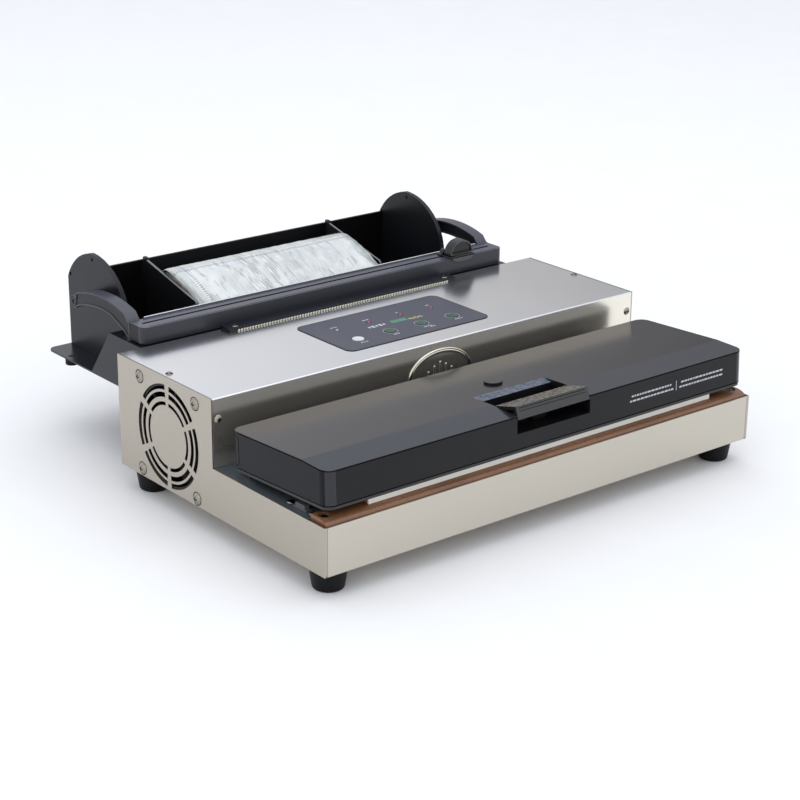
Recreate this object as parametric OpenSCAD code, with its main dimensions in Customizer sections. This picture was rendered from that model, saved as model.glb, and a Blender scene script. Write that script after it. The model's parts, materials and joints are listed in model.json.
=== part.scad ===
// Chamberless vacuum sealer with a hinged lid, and a bag roll holder with a cutter bar behind it.
// Lengths are millimetres. X runs along the front, Y goes back from the front panel, Z is up.
// Sub-parts are drawn with X = 0 in the middle, Y = 0 at the front panel and Z = 0 under the steel body.

/* [Body] */
// Width of the steel body
body_w = 470; // [462:1:480]
// Depth of the steel body
body_d = 289.4; // [286:0.1:294]
// Height of the low front part of the body
deck_h = 40.9; // [40.9:0.1:41]
// Height of the tall rear part of the body
body_h = 99.8; // [98:0.1:102]
// Distance from the front panel to the riser
riser_y = 148.8; // [148:0.1:150]
// Thickness of the steel sheet
sheet = 1.2; // [1:0.1:1.5]
// Height of the rubber feet
foot_h = 20; // [16:0.5:24]

/* [Lid] */
// Width of the lid
lid_w = 459.4; // [456:0.2:461]
// Opening angle of the lid as it stands, in degrees
lid_rest = 2.7; // [2.5:0.1:3]
// Wall thickness of the lid shell
lid_wall = 2.5; // [2:0.1:3]
// Width of the latch recess
latch_w = 80.5; // [70:0.5:90]
// Sideways place of the latch recess
latch_x = 2.2; // [0:0.1:4]

/* [Sealing] */
// Length of the seal bar
bar_len = 380; // [360:5:384]
// Height of the top of the seal bar
bar_top = 50.6; // [50:0.1:50.8]
// Sideways place of the middle of the seal bar
bar_x = 3; // [0:0.5:3]

/* [Control panel] */
// Width of the control overlay
panel_w = 159; // [150:1:170]
// Depth of the control overlay
panel_d = 81; // [76:1:84]
// Pitch of the push buttons
button_pitch = 35.4; // [34:0.1:37]
// Diameter of a push button
button_dia = 10.6; // [8:0.2:11]

/* [Fan] */
// Height of the fan's centre
fan_z = 48; // [47.5:0.5:48.5]
// Distance from the front panel to the fan's centre
fan_y = 213.9; // [212:0.1:215]
// Pitch of the fan's mounting screws
fan_pitch = 82.5; // [82:0.5:83]

/* [Roll holder] */
// Width of the holder's shelf
shelf_w = 417; // [415:1:419]
// Height of the shelf's upper face
shelf_z = 53; // [52:0.5:54]
// Distance from the front panel to the rear edge of the shelf
shelf_y = 458; // [456:1:460]
// Distance between the outer faces of the side plates
sides_w = 367; // [365:1:369]
// Thickness of a side plate
side_t = 4.5; // [4:0.5:5]
// Width of the bag film
film_w = 200; // [190:1:204]
// Radius of the wound bag roll
roll_r = 28; // [24:1:31]

/* [Cutter bar] */
// Length of the cutter rail over its arms
rail_w = 410; // [408:1:412]
// Depth of the cutter rail
rail_d = 24; // [23:0.5:25]
// Height of the cutter rail
rail_h = 15.2; // [14:0.2:16]
// Place of the cutter knob along the rail
knob_x = 153; // [-160:1:160]

/* [Hidden] */
$fn = 48;

// Fits and clearances
gap = 0.3;
run_fit = 0.05;

// The middle of the whole object's depth, from the front panel to the shelf's rear edge
mid_y = shelf_y / 2;
half_w = body_w / 2;

// Feet
foot_x = half_w - 19;
foot_front_y = 20.7;
foot_rear_y = body_d - 21;

// Deck, tray and seal bar
deck_half = half_w - sheet - 0.4;
deck_front_y = 22;
tray_half = 206;
tray_y0 = 40;
tray_y1 = 70;
tray_depth = 14;
gasket_w = 6;
bar_y0 = 10;
bar_y1 = 20.4;
board_top = 45.2;
board_screw = [half_w - 10, 14];

// Lid, drawn closed, then turned about its hinge
lid_y0 = 3.8;
lid_y1 = 129;
lid_bottom = 46;
groove_z = 49.2;
lid_top = 80;
lid_corner = 9;
hinge_y = 122;
hinge_z = 52;
ear_x0 = 206;
ear_x1 = 212;
bracket_x0 = 212.3;
bracket_x1 = 215.3;
slope_y = 35;
slope_drop = 2.2;
pocket_floor = 62.4;
pocket_y1 = 50;
ramp_y1 = 60;

// Latch handle
latch_pivot_y = 34;
latch_pivot_z = 72;
latch_pin_r = 1.5;
hook_w = 14;

// Control panel, centred under the overlay's middle
panel_x = 1.5;
panel_y = 212.5;
overlay_t = 0.5;
button_y = 195;
light_y = 225;
button_x0 = -51.6;

// Pump, transformer and rear sockets
pump_y = 215;
pump_z = 40;
switch_x = 100;
inlet_x = 150;
socket_z = 27;

// Holder bracket
strip_x0 = -129;
strip_x1 = 128;
strip_y = 277;
bracket_t = 1.5;
pad_t = 1.5;
web_y = body_d + 0.2;
top_plate_z = 97.5;
top_plate_y = 346;
web_foot_y = 379;
strip_screw_x = 119.5;
strip_screw_y = 283;

// Roll holder
side_y0 = 358.6;
side_y1 = 457.2;
side_top = 148.2;
trough_half = sides_w / 2 - side_t;
trough_wall = 3;
trough_y0 = 354;
trough_y1 = 455;
trough_rear_z = 120.5;
trough_front_z = 93;
divider_t = 2.5;
divider_x = 105;
roll_y = 408;
roll_z = 90.5;
core_r = 19;
film_t = 0.4;

// Cutter bar
rail_y = 296.2;
rail_z = 98.4;
arm_t = 12;
arm_pivot_y = 411.5;
arm_pivot_z = 109;
arm_pin_r = 2.5;
track_y = 309;
track_w = 2.4;
knob_r = 13;

// Screws: radius of head and shank, and height of the head
head_r = 4.6;
head_h = 2.4;
shank_r = 1.9;
hole_r = 2.1;

// ---------- helpers ----------

module in_place() {
    translate([0, -mid_y, foot_h]) children();
}

// Turns a lid part from closed to where it stands
module on_lid() {
    in_place()
        translate([0, hinge_y, hinge_z])
            rotate([-lid_rest, 0, 0])
                translate([0, -hinge_y, -hinge_z])
                    children();
}

module mirror_copy() {
    children();
    mirror([1, 0, 0]) children();
}

// Box from two corners
module box(low, high) {
    translate(low) cube(high - low);
}

// Exact rounded rectangle, corner at the origin
module rounded_rect(w, d, r) {
    translate([r, 0]) square([w - 2 * r, d]);
    translate([0, r]) square([w, d - 2 * r]);
    for (x = [r, w - r], y = [r, d - r]) translate([x, y]) circle(r);
}

// Extrudes a side view, drawn as [Y, Z], along X from x0 to x1
module along_x(x0, x1) {
    translate([x0, 0, 0])
        rotate([90, 0, 90])
            linear_extrude(x1 - x0) children();
}

// Extrudes a plan from z0 to z1
module plan(z0, z1) {
    translate([0, 0, z0]) linear_extrude(z1 - z0) children();
}

// Cylinder along X
module x_rod(r, x0, x1, y, z) {
    translate([x0, y, z]) rotate([0, 90, 0]) cylinder(r = r, h = x1 - x0);
}

// Domed pan head with a cross recess, seat at z = 0, shank downwards
module pan_screw(length, head = head_r) {
    dome_r = (head * head + head_h * head_h) / (2 * head_h);
    difference() {
        union() {
            intersection() {
                translate([0, 0, head_h - dome_r]) sphere(dome_r);
                cylinder(r = head, h = head_h);
            }
            translate([0, 0, -length]) cylinder(r = shank_r, h = length + 0.1);
        }
        translate([-2.4, -0.5, head_h - 1.3]) cube([4.8, 1, 2]);
        translate([-0.5, -2.4, head_h - 1.3]) cube([1, 4.8, 2]);
    }
}

// Places of the fan screws on the left side panel, and of their twins on the right one
module at_fan_screws() {
    for (y = [-1, 1], z = [-1, 1])
        translate([0, fan_y + y * fan_pitch / 2, fan_z + z * fan_pitch / 2]) children();
}

// ---------- steel body ----------

module base_pan() {
    color([0.78, 0.77, 0.74]) in_place() difference() {
        union() {
            box([-half_w + sheet, 0, 0], [half_w - sheet, body_d - sheet - gap, sheet]);
            box([-half_w + 3, 0, 0], [half_w - 3, sheet, deck_h - gap]);
        }
        for (x = [-1, 1], y = [foot_front_y, foot_rear_y])
            translate([x * foot_x, y, -1]) cylinder(r = hole_r, h = 4);
    }
}

module side_outline() {
    polygon([[0, 0], [body_d, 0], [body_d, body_h], [riser_y, body_h], [riser_y, deck_h], [0, deck_h]]);
}

// Flat L-shaped side sheet at positive X, with front and rear return flanges
module side_sheet() {
    along_x(half_w - sheet, half_w) side_outline();
    box([half_w - 2.8, 0, 0], [half_w, sheet, deck_h]);
    box([half_w - 12, body_d - sheet, sheet + gap], [half_w, body_d, body_h - sheet - gap]);
}

// One arc slot of the fan grille
module fan_slot(r_out, r_in) {
    slot_arc = 52;
    rotate([0, 0, -slot_arc / 2])
        rotate_extrude(angle = slot_arc)
            translate([r_in, -1]) square([r_out - r_in, sheet + 2]);
}

module side_panel_left() {
    color([0.68, 0.66, 0.62]) in_place() difference() {
        mirror([1, 0, 0]) side_sheet();
        translate([-half_w, fan_y, fan_z]) rotate([90, 0, 90])
            for (ring = [[45, 40.5], [38.2, 34], [30, 27]], k = [0:5])
                rotate([0, 0, 60 * k]) fan_slot(ring[0], ring[1]);
        at_fan_screws() x_rod(hole_r, -half_w - 1, -half_w + sheet + 1, 0, 0);
    }
}

module side_panel_right() {
    color([0.68, 0.66, 0.62]) in_place() difference() {
        side_sheet();
        for (k = [0:8])
            translate([0, fan_y - 32 + 8 * k, fan_z])
                box([half_w - sheet - 1, -1.5, -18], [half_w + 1, 1.5, 18]);
        at_fan_screws() x_rod(hole_r, half_w - sheet - 1, half_w + 1, 0, 0);
    }
}

module rear_panel() {
    color([0.7, 0.69, 0.67]) in_place() difference() {
        box([-half_w + 12 + gap, body_d - sheet, 0], [half_w - 12 - gap, body_d, body_h - sheet - gap]);
        box([inlet_x - 14, body_d - 3, socket_z - 10.5], [inlet_x + 14, body_d + 1, socket_z + 10.5]);
        box([switch_x - 10, body_d - 3, socket_z - 7], [switch_x + 10, body_d + 1, socket_z + 7]);
    }
}

module top_cover() {
    inner = half_w - sheet - 0.1;
    color([0.84, 0.84, 0.85]) in_place() difference() {
        union() {
            box([-inner, riser_y, body_h - sheet], [inner, body_d, body_h]);
            box([-inner, riser_y, deck_h + 0.1], [inner, riser_y + sheet, body_h]);
        }
        for (k = [0:3])
            translate([button_x0 + k * button_pitch, button_y, body_h - 3])
                cylinder(d = button_dia + 1, h = 5);
        for (k = [0:3])
            translate([button_x0 + k * button_pitch, light_y, body_h - 3]) cylinder(d = 5.2, h = 5);
        for (x = [-1, 1]) {
            translate([x * (half_w - 7), 220, body_h - 3]) cylinder(r = hole_r, h = 5);
            translate([x * (half_w - 6.5), riser_y - 1, 82]) rotate([-90, 0, 0]) cylinder(r = hole_r, h = 4);
            translate([x * strip_screw_x, strip_screw_y, body_h - 3]) cylinder(r = hole_r, h = 5);
        }
    }
}

module badge() {
    color([0.72, 0.7, 0.66]) in_place()
        translate([2, riser_y, 70]) rotate([90, 0, 0])
            linear_extrude(1) scale([35 / 23, 1]) circle(23);
}

module deck_plate() {
    keeper_slot = hook_w + 6;
    color([0.4, 0.42, 0.44]) in_place() difference() {
        box([-deck_half, deck_front_y, deck_h - sheet], [deck_half, riser_y - 0.2, deck_h]);
        box([-tray_half, tray_y0, 30], [tray_half, tray_y1, 50]);
        box([latch_x - keeper_slot / 2, 30, 30], [latch_x + keeper_slot / 2, 32, 50]);
        for (x = [-224.5, 224.5], y = [27.8, 56.7]) translate([x, y, 35]) cylinder(r = hole_r, h = 9);
    }
}

// ---------- sealing parts on the deck ----------

module vacuum_tray() {
    wall = 1.5;
    floor_z = deck_h - sheet - tray_depth;
    color([0.12, 0.12, 0.13]) in_place() difference() {
        union() {
            box([-tray_half + 0.1, tray_y0 + 0.1, floor_z], [tray_half - 0.1, tray_y1 - 0.1, deck_h]);
            box([-tray_half - 4, tray_y0 - 3, deck_h - sheet - 1.5],
                [tray_half + 4, tray_y1 + 4, deck_h - sheet]);
        }
        box([-tray_half + wall, tray_y0 + wall, floor_z + wall], [tray_half - wall, tray_y1 - wall, 60]);
        translate([-120, (tray_y0 + tray_y1) / 2, floor_z - 1]) cylinder(r = 3, h = 5);
    }
}

module gasket_ring(z0, z1, inset) {
    corner = 8;
    x_out = tray_half + gasket_w + 1 - inset;
    y_out = [tray_y0 - gasket_w - 1 + inset, tray_y1 + gasket_w + 1 - inset];
    depth = y_out[1] - y_out[0];
    width = gasket_w - 2 * inset;
    plan(z0, z1) difference() {
        translate([-x_out, y_out[0]]) rounded_rect(2 * x_out, depth, corner);
        translate([-x_out + width, y_out[0] + width])
            rounded_rect(2 * (x_out - width), depth - 2 * width, corner - width + 2);
    }
}

module lower_gasket() {
    color([0.1, 0.1, 0.11]) in_place() gasket_ring(deck_h, deck_h + 4, 0);
}

// Brown board with a convex top, under the seal bar
module seal_board() {
    front = 2;
    back = deck_front_y - 0.2;
    bulge = [for (a = [0:15:90]) [14 - 12 * cos(a), 40.6 + (board_top - 40.6) * sin(a)]];
    color([0.36, 0.22, 0.15]) in_place() difference() {
        along_x(-half_w + 3, half_w - 3)
            polygon(concat([[back, 37], [front, 37]], bulge, [[back, board_top]]));
        for (x = [-1, 1]) translate([x * board_screw[0], board_screw[1], 30]) cylinder(r = hole_r, h = 20);
        for (x = [-1, 1])
            translate([x * board_screw[0], board_screw[1], board_top - 2]) cylinder(r = 4.8, h = 4);
    }
}

module seal_bar() {
    color([0.3, 0.18, 0.12]) in_place() translate([bar_x, 0, 0])
        box([-bar_len / 2, bar_y0, board_top], [bar_len / 2, bar_y1, bar_top]);
}

module bar_facing() {
    color([0.88, 0.87, 0.82]) in_place() translate([bar_x, 0, 0])
        box([-bar_len / 2 + 0.5, bar_y0 - 1.4, board_top - 0.3], [bar_len / 2 - 0.5, bar_y0, bar_top]);
}

module heating_ribbon() {
    middle = (bar_y0 + bar_y1) / 2;
    color([0.75, 0.75, 0.72]) in_place() translate([bar_x, 0, 0])
        box([-bar_len / 2 + 4, middle - 1.5, bar_top], [bar_len / 2 - 4, middle + 1.5, bar_top + 0.15]);
}

module sealing_tape() {
    middle = (bar_y0 + bar_y1) / 2;
    color([0.45, 0.3, 0.2]) in_place() translate([bar_x, 0, 0]) difference() {
        box([-bar_len / 2, bar_y0, bar_top], [bar_len / 2, bar_y1, bar_top + 0.4]);
        box([-bar_len / 2 + 4, middle - 1.5, bar_top - 1], [bar_len / 2 - 4, middle + 1.5, bar_top + 0.15]);
    }
}

module lid_switch() {
    color([0.45, 0.46, 0.48]) in_place() {
        box([-228, 33, deck_h], [-221, 50, deck_h + 1]);
        box([-227, 36, deck_h + 1], [-222, 48, deck_h + 4]);
    }
}

// Post behind the seal bar whose nose the latch hook catches
module latch_keeper() {
    color([0.6, 0.6, 0.6]) in_place() {
        box([latch_x - 7, 30.4, deck_h - sheet - 2], [latch_x + 7, 31.6, 51.2]);
        box([latch_x - 7, 28.3, 50], [latch_x + 7, 30.4, 51.2]);
        box([latch_x - 12, 26, deck_h - sheet - 2], [latch_x + 12, 30.4, deck_h - sheet]);
    }
}

module hinge_brackets() {
    color([0.55, 0.55, 0.56]) in_place() mirror_copy() difference() {
        union() {
            box([bracket_x0, hinge_y - 3.5, deck_h], [bracket_x1, hinge_y + 3.5, hinge_z]);
            x_rod(3.9, bracket_x0, bracket_x1, hinge_y, hinge_z);
            box([bracket_x0, hinge_y - 9, deck_h], [bracket_x1 + 8, hinge_y + 3.5, deck_h + 1.5]);
        }
        x_rod(2.5, bracket_x0 - 1, bracket_x1 + 1, hinge_y, hinge_z);
    }
}

// Pins of the lid's hinge and of the cutter arms
module pivot_pins() {
    color([0.7, 0.7, 0.7]) in_place() mirror_copy() {
        x_rod(2.49, ear_x0 - 1, bracket_x1, hinge_y, hinge_z);
        x_rod(arm_pin_r, sides_w / 2 - 1, rail_w / 2 - 1, arm_pivot_y, arm_pivot_z);
    }
}

// ---------- control panel ----------

module at_buttons(y) {
    for (k = [0:3]) translate([button_x0 + k * button_pitch, y, 0]) children();
}

module control_overlay() {
    color([0.36, 0.37, 0.43]) in_place() difference() {
        translate([panel_x - panel_w / 2, panel_y - panel_d / 2, body_h])
            linear_extrude(overlay_t) rounded_rect(panel_w, panel_d, 8);
        at_buttons(button_y) translate([0, 0, body_h - 1]) cylinder(d = button_dia + 0.6, h = 4);
        at_buttons(light_y) translate([0, 0, body_h - 1]) cylinder(d = 5.1, h = 4);
    }
}

module control_board() {
    color([0.1, 0.35, 0.2]) in_place() {
        box([panel_x - 72, panel_y - 34, 84], [panel_x + 72, panel_y + 34, 85.6]);
        for (x = [-66, 66], y = [-28, 28])
            translate([panel_x + x, panel_y + y, 85.6]) cylinder(r = 3, h = body_h - sheet - 85.6);
        box([panel_x - 10, panel_y - 8, 74], [panel_x + 20, panel_y + 20, 84]);
    }
}

module indicator_lights() {
    color([0.8, 0.15, 0.1]) in_place() at_buttons(light_y) {
        translate([0, 0, 85.6]) cylinder(d = 5, h = body_h + overlay_t - 85.6);
        translate([0, 0, body_h + overlay_t]) sphere(d = 5);
    }
}

module push_button(k) {
    color(k == 1 ? [0.85, 0.85, 0.86] : [0.25, 0.5, 0.3]) in_place()
        translate([button_x0 + (k - 1) * button_pitch, button_y, 0]) {
            translate([0, 0, 92]) cylinder(d = button_dia, h = body_h + overlay_t + 0.6 - 92);
            translate([0, 0, 92]) cylinder(d = button_dia + 4, h = 1.2);
        }
}

module button_1() { push_button(1); }
module button_2() { push_button(2); }
module button_3() { push_button(3); }
module button_4() { push_button(4); }

// ---------- feet and screws ----------

module feet() {
    color([0.07, 0.07, 0.07]) in_place() for (x = [-1, 1], y = [foot_front_y, foot_rear_y])
        translate([x * foot_x, y, 0]) rotate([180, 0, 0]) rotate_extrude()
            polygon([[0, 0], [15.5, 0], [15.5, 2], [12.9, foot_h - 1.4], [11.5, foot_h], [0, foot_h]]);
}

module pan_screws() {
    color([0.86, 0.85, 0.8]) in_place() {
        at_fan_screws() {
            translate([-half_w, 0, 0]) rotate([0, -90, 0]) pan_screw(5, 5.4);
            translate([half_w, 0, 0]) rotate([0, 90, 0]) pan_screw(5, 5.4);
        }
        for (x = [-1, 1]) {
            translate([x * (half_w - 7), 220, body_h]) scale(0.75) pan_screw(6);
            translate([x * (half_w - 6.5), riser_y, 82]) rotate([90, 0, 0]) scale(0.8) pan_screw(6);
            translate([x * strip_screw_x, strip_screw_y, body_h + pad_t + bracket_t]) pan_screw(8);
            translate([x * board_screw[0], board_screw[1], board_top - 2]) scale(0.75) pan_screw(6);
            for (y = [27.8, 56.7]) translate([x * 224.5, y, deck_h]) scale([0.75, 0.75, 0.6]) pan_screw(6);
        }
    }
}

// ---------- fan, pump, transformer, sockets ----------

module fan_frame() {
    x0 = -half_w + sheet + 0.1;
    size = 92;
    color([0.12, 0.12, 0.12]) in_place() difference() {
        union() {
            difference() {
                translate([x0, fan_y - size / 2, fan_z - size / 2]) cube([25, size, size - 2]);
                x_rod(43, x0 - 1, x0 + 26, fan_y, fan_z);
            }
            x_rod(15, x0 + 20, x0 + 25, fan_y, fan_z);
            for (a = [45:90:315]) translate([x0 + 20, fan_y, fan_z]) rotate([a, 0, 0])
                translate([0, 10, -2]) cube([4, 35, 4]);
        }
        at_fan_screws() x_rod(hole_r, x0 - 1, x0 + 26, 0, 0);
        x_rod(2 + run_fit, x0 + 12, x0 + 26, fan_y, fan_z);
    }
}

module fan_blade(x0) {
    color([0.15, 0.15, 0.15]) translate([x0 + 11, 0, 0]) rotate([0, 0, 32]) translate([-8, -1, 15])
        cube([16, 2, 26]);
}

module fan_rotor() {
    x0 = -half_w + sheet + 0.1;
    color([0.15, 0.15, 0.15]) in_place() {
        difference() {
            x_rod(16.5, x0 + 4, x0 + 18.5, fan_y, fan_z);
            x_rod(14, x0 + 8, x0 + 20, fan_y, fan_z);
        }
        x_rod(2, x0 + 7, x0 + 24, fan_y, fan_z);
        translate([0, fan_y, fan_z]) for (k = [0:6]) rotate([k * 360 / 7, 0, 0]) fan_blade(x0);
    }
}

module pump_motor() {
    color([0.5, 0.5, 0.52]) in_place() difference() {
        union() {
            x_rod(27, -46, 46, pump_y, pump_z);
            x_rod(31, -38, 38, pump_y, pump_z);
        }
        x_rod(4 + run_fit, -60, 60, pump_y, pump_z);
    }
}

module pump_shaft() {
    color([0.7, 0.7, 0.72]) in_place() {
        x_rod(4, -72, 72, pump_y, pump_z);
        for (side = [-1, 1]) x_rod(7, 59 * side - 5, 59 * side + 5, pump_y, pump_z + 2);
    }
}

// Crank case with two cylinders on top, one at each end of the motor
module pump_heads() {
    color([0.3, 0.3, 0.32]) in_place() mirror_copy() difference() {
        union() {
            box([50, pump_y - 26, 12], [72, pump_y + 26, 66]);
            box([48, pump_y - 18, 66], [74, pump_y + 18, 80]);
        }
        x_rod(14, 52, 70, pump_y, pump_z);
        x_rod(4 + run_fit, 45, 75, pump_y, pump_z);
    }
}

module pump_bracket() {
    color([0.6, 0.6, 0.6]) in_place() difference() {
        box([-44, pump_y - 34, sheet], [44, pump_y + 34, 16]);
        box([-45, pump_y - 32, sheet + 1.5], [45, pump_y + 32, 20]);
        for (x = [-36, 36], y = [-26, 26])
            translate([x, pump_y + y, 0]) cylinder(r = 2.5, h = 5);
    }
}

module transformer_core() {
    color([0.35, 0.33, 0.3]) in_place() difference() {
        box([125, 176, sheet], [185, 246, 60]);
        box([124, 190, 14], [186, 201, 48]);
        box([124, 221, 14], [186, 232, 48]);
    }
}

module transformer_coil() {
    color([0.7, 0.5, 0.2]) in_place() difference() {
        box([118, 190.3, 14.3], [192, 231.7, 47.7]);
        box([124.7, 200.7, 10], [185.3, 221.3, 50]);
    }
}

// Hose from the left pump head forward to the spout of the tray
module vacuum_hose() {
    tube_r = 4;
    end_y = (tray_y0 + tray_y1) / 2;
    spout_z = deck_h - sheet - tray_depth;
    bend = 12;
    run_z = spout_z - bend;
    color([0.85, 0.85, 0.83, 0.9]) in_place() translate([-120, 0, 0]) {
        translate([0, end_y + bend, run_z + bend]) rotate([0, 90, 0]) rotate([0, 0, -90])
            rotate_extrude(angle = 90) translate([bend, 0]) hose_ring(tube_r);
        translate([0, end_y + bend, run_z]) rotate([-90, 0, 0])
            linear_extrude(pump_y - end_y - 2 * bend) hose_ring(tube_r);
        translate([bend, pump_y - bend, run_z]) rotate([0, 0, 90])
            rotate_extrude(angle = 90) translate([bend, 0]) hose_ring(tube_r);
        translate([bend, pump_y, run_z]) rotate([0, 90, 0]) linear_extrude(48 - bend) hose_ring(tube_r);
    }
}

module hose_ring(r) {
    difference() {
        circle(r);
        circle(r - 1.2);
    }
}

module power_inlet() {
    color([0.08, 0.08, 0.08]) in_place() difference() {
        union() {
            box([inlet_x - 24, body_d, socket_z - 12], [inlet_x + 24, body_d + 2.5, socket_z + 12]);
            box([inlet_x - 13.8, body_d - 22, socket_z - 10.3], [inlet_x + 13.8, body_d, socket_z + 10.3]);
        }
        difference() {
            box([inlet_x - 12, body_d - 16, socket_z - 8], [inlet_x + 12, body_d + 4, socket_z + 8]);
            for (x = [-7, 0, 7])
                box([inlet_x + x - 1, body_d - 17, socket_z - 2 + (x == 0 ? 3 : -1)],
                    [inlet_x + x + 1, body_d - 2, socket_z + 2 + (x == 0 ? 3 : -1)]);
        }
    }
}

module switch_frame() {
    color([0.08, 0.08, 0.08]) in_place() difference() {
        union() {
            box([switch_x - 13, body_d, socket_z - 9], [switch_x + 13, body_d + 1.5, socket_z + 9]);
            box([switch_x - 9.8, body_d - 14, socket_z - 6.8], [switch_x + 9.8, body_d, socket_z + 6.8]);
        }
        box([switch_x - 8.3, body_d - 12, socket_z - 5.3], [switch_x + 8.3, body_d + 3, socket_z + 5.3]);
        x_rod(1, switch_x - 9, switch_x + 9, body_d - 3, socket_z);
    }
}

module switch_rocker() {
    tilt = 12;
    color([0.15, 0.15, 0.15]) in_place() {
        translate([0, body_d - 3, socket_z]) {
            along_x(switch_x - 8, switch_x + 8) rotate(tilt)
                polygon([[-2, -3], [-2, 3], [4.6, 4.2], [4, 0], [4.6, -4.2]]);
            x_rod(0.95, switch_x - 8.8, switch_x + 8.8, 0, 0);
        }
    }
}

// ---------- roll holder ----------

// One bent sheet: strip on the body, step down, top plate, web and shelf, with two side gussets
module holder_bracket() {
    half = shelf_w / 2;
    strip_z = body_h + pad_t;
    step_y = web_y + bracket_t;
    shelf_front = top_plate_y - bracket_t;
    color([0.16, 0.16, 0.17]) in_place() {
        difference() {
            box([strip_x0, strip_y, strip_z], [strip_x1, step_y, strip_z + bracket_t]);
            for (x = [-1, 1])
                translate([x * strip_screw_x, strip_screw_y, body_h]) cylinder(r = hole_r, h = 5);
        }
        box([strip_x0, web_y, top_plate_z - bracket_t], [strip_x1, step_y, strip_z + bracket_t]);
        box([-half, web_y, top_plate_z - bracket_t], [half, top_plate_y, top_plate_z]);
        box([-half, shelf_front, shelf_z - bracket_t], [half, top_plate_y, top_plate_z]);
        difference() {
            plan(shelf_z - bracket_t, shelf_z) difference() {
                translate([-half, shelf_front - 40]) rounded_rect(shelf_w, shelf_y - shelf_front + 40, 8);
                translate([-half - 1, shelf_front - 41]) square([shelf_w + 2, 41]);
            }
            at_bumpers() translate([0, 0, shelf_z - 5]) cylinder(r = 3, h = 8);
        }
        mirror_copy() along_x(half - bracket_t, half) polygon([
            [web_y, shelf_z - bracket_t], [web_foot_y, shelf_z - bracket_t], [web_foot_y, shelf_z],
            [top_plate_y, top_plate_z], [web_y, top_plate_z]
        ]);
    }
}

module strip_pad() {
    color([0.9, 0.88, 0.8]) in_place() difference() {
        box([strip_x0, strip_y - 0.4, body_h], [strip_x1, body_d, body_h + pad_t]);
        for (x = [-1, 1])
            translate([x * strip_screw_x, strip_screw_y, body_h - 1]) cylinder(r = hole_r, h = 5);
    }
}

module at_bumpers() {
    for (x = [-1, 1]) translate([x * (shelf_w / 2 - 6.5), 425, 0]) children();
}

module holder_bumpers() {
    color([0.05, 0.05, 0.05]) in_place() at_bumpers() {
        translate([0, 0, shelf_z - bracket_t - 6]) cylinder(r = 6, h = 6);
        translate([0, 0, shelf_z - bracket_t]) cylinder(r = 3, h = bracket_t);
    }
}

// Side view of a side plate: straight rear edge, rounded top, long curved front edge
module side_plate_outline() {
    crown_y = 417;
    crown_z = 97;
    rear_c = [407.6, 93.2];
    rear_r = side_top - 93.2 + 0.6;
    rear_a = acos((side_y1 - rear_c[0]) / rear_r);
    rear_arc = [for (a = [rear_a:(80 - rear_a) / 8:80]) rear_c + rear_r * [cos(a), sin(a)]];
    front_run = crown_y - side_y0;
    front_arc = [for (a = [90:-9:0]) [crown_y - front_run * cos(a), crown_z + (side_top - crown_z) * sin(a)]];
    polygon(concat([[side_y1, shelf_z]], rear_arc, front_arc, [[side_y0, shelf_z]]));
}

module roll_sides() {
    color([0.28, 0.28, 0.3]) in_place() mirror_copy() difference() {
        union() {
            along_x(sides_w / 2 - side_t, sides_w / 2) side_plate_outline();
            x_rod(6, sides_w / 2, rail_w / 2 - arm_t - gap, arm_pivot_y, arm_pivot_z);
        }
        x_rod(1.6, sides_w / 2 - side_t - 1, sides_w / 2 + 1, 413, 143.3);
        x_rod(1.6, sides_w / 2 - side_t - 1, sides_w / 2 + 1, 452.6, 121);
        x_rod(arm_pin_r + 0.01, sides_w / 2 - 1, rail_w / 2, arm_pivot_y, arm_pivot_z);
    }
}

// Trough between the side plates: rear wall, floor, low front wall
module roll_trough() {
    half = trough_half - 0.1;
    floor_z = shelf_z + 2;
    color([0.12, 0.12, 0.13]) in_place() along_x(-half, half) difference() {
        polygon([[trough_y0, shelf_z], [trough_y1, shelf_z], [trough_y1, trough_rear_z],
            [trough_y1 - trough_wall, trough_rear_z], [trough_y0, trough_rear_z]]);
        polygon([[trough_y0 + trough_wall, floor_z + 6], [trough_y0 + trough_wall + 6, floor_z],
            [trough_y1 - trough_wall - 8, floor_z], [trough_y1 - trough_wall, floor_z + 8],
            [trough_y1 - trough_wall, 150], [trough_y0 + trough_wall, 150]]);
        translate([trough_y0 - 1, trough_front_z]) square([20, 60]);
    }
}

module divider(x_inner) {
    front_y = 362;
    back_y = 449;
    nose_r = 5;
    nose_y = front_y + nose_r;
    difference() {
        union() {
            along_x(x_inner, x_inner + divider_t) union() {
                polygon([[nose_y - nose_r, shelf_z + 10], [back_y, shelf_z + 10], [back_y, 123],
                    [nose_y, 103], [nose_y - nose_r, 98]]);
                translate([nose_y, 98]) circle(nose_r);
            }
            x_rod(core_r - 2 - gap, x_inner - 8, x_inner, roll_y, roll_z);
        }
        x_rod(core_r - 5, x_inner - 9, x_inner, roll_y, roll_z);
    }
}

module divider_right() {
    color([0.1, 0.1, 0.11]) in_place() divider(divider_x);
}

module divider_left() {
    color([0.1, 0.1, 0.11]) in_place() mirror([1, 0, 0]) divider(divider_x);
}

module bag_roll() {
    color([0.85, 0.88, 0.9, 0.6]) in_place() difference() {
        x_rod(roll_r, -film_w / 2, film_w / 2, roll_y, roll_z);
        x_rod(core_r - 2, -film_w / 2 - 1, film_w / 2 + 1, roll_y, roll_z);
    }
}

// Film from the top of the roll down under the cutter rail
module film_web() {
    leave = 24;
    r = roll_r + gap;
    start = [roll_y - r * sin(leave), roll_z + r * cos(leave)];
    low = [353, top_plate_z + 0.25];
    tip_y = rail_y - 3;
    color([0.85, 0.9, 0.92, 0.5]) in_place() along_x(-film_w / 2, film_w / 2) polygon([
        start, low, [tip_y, top_plate_z + 0.25],
        [tip_y, top_plate_z + 0.25 + film_t], low + [0, film_t], start + [0, film_t]
    ]);
}

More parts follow.
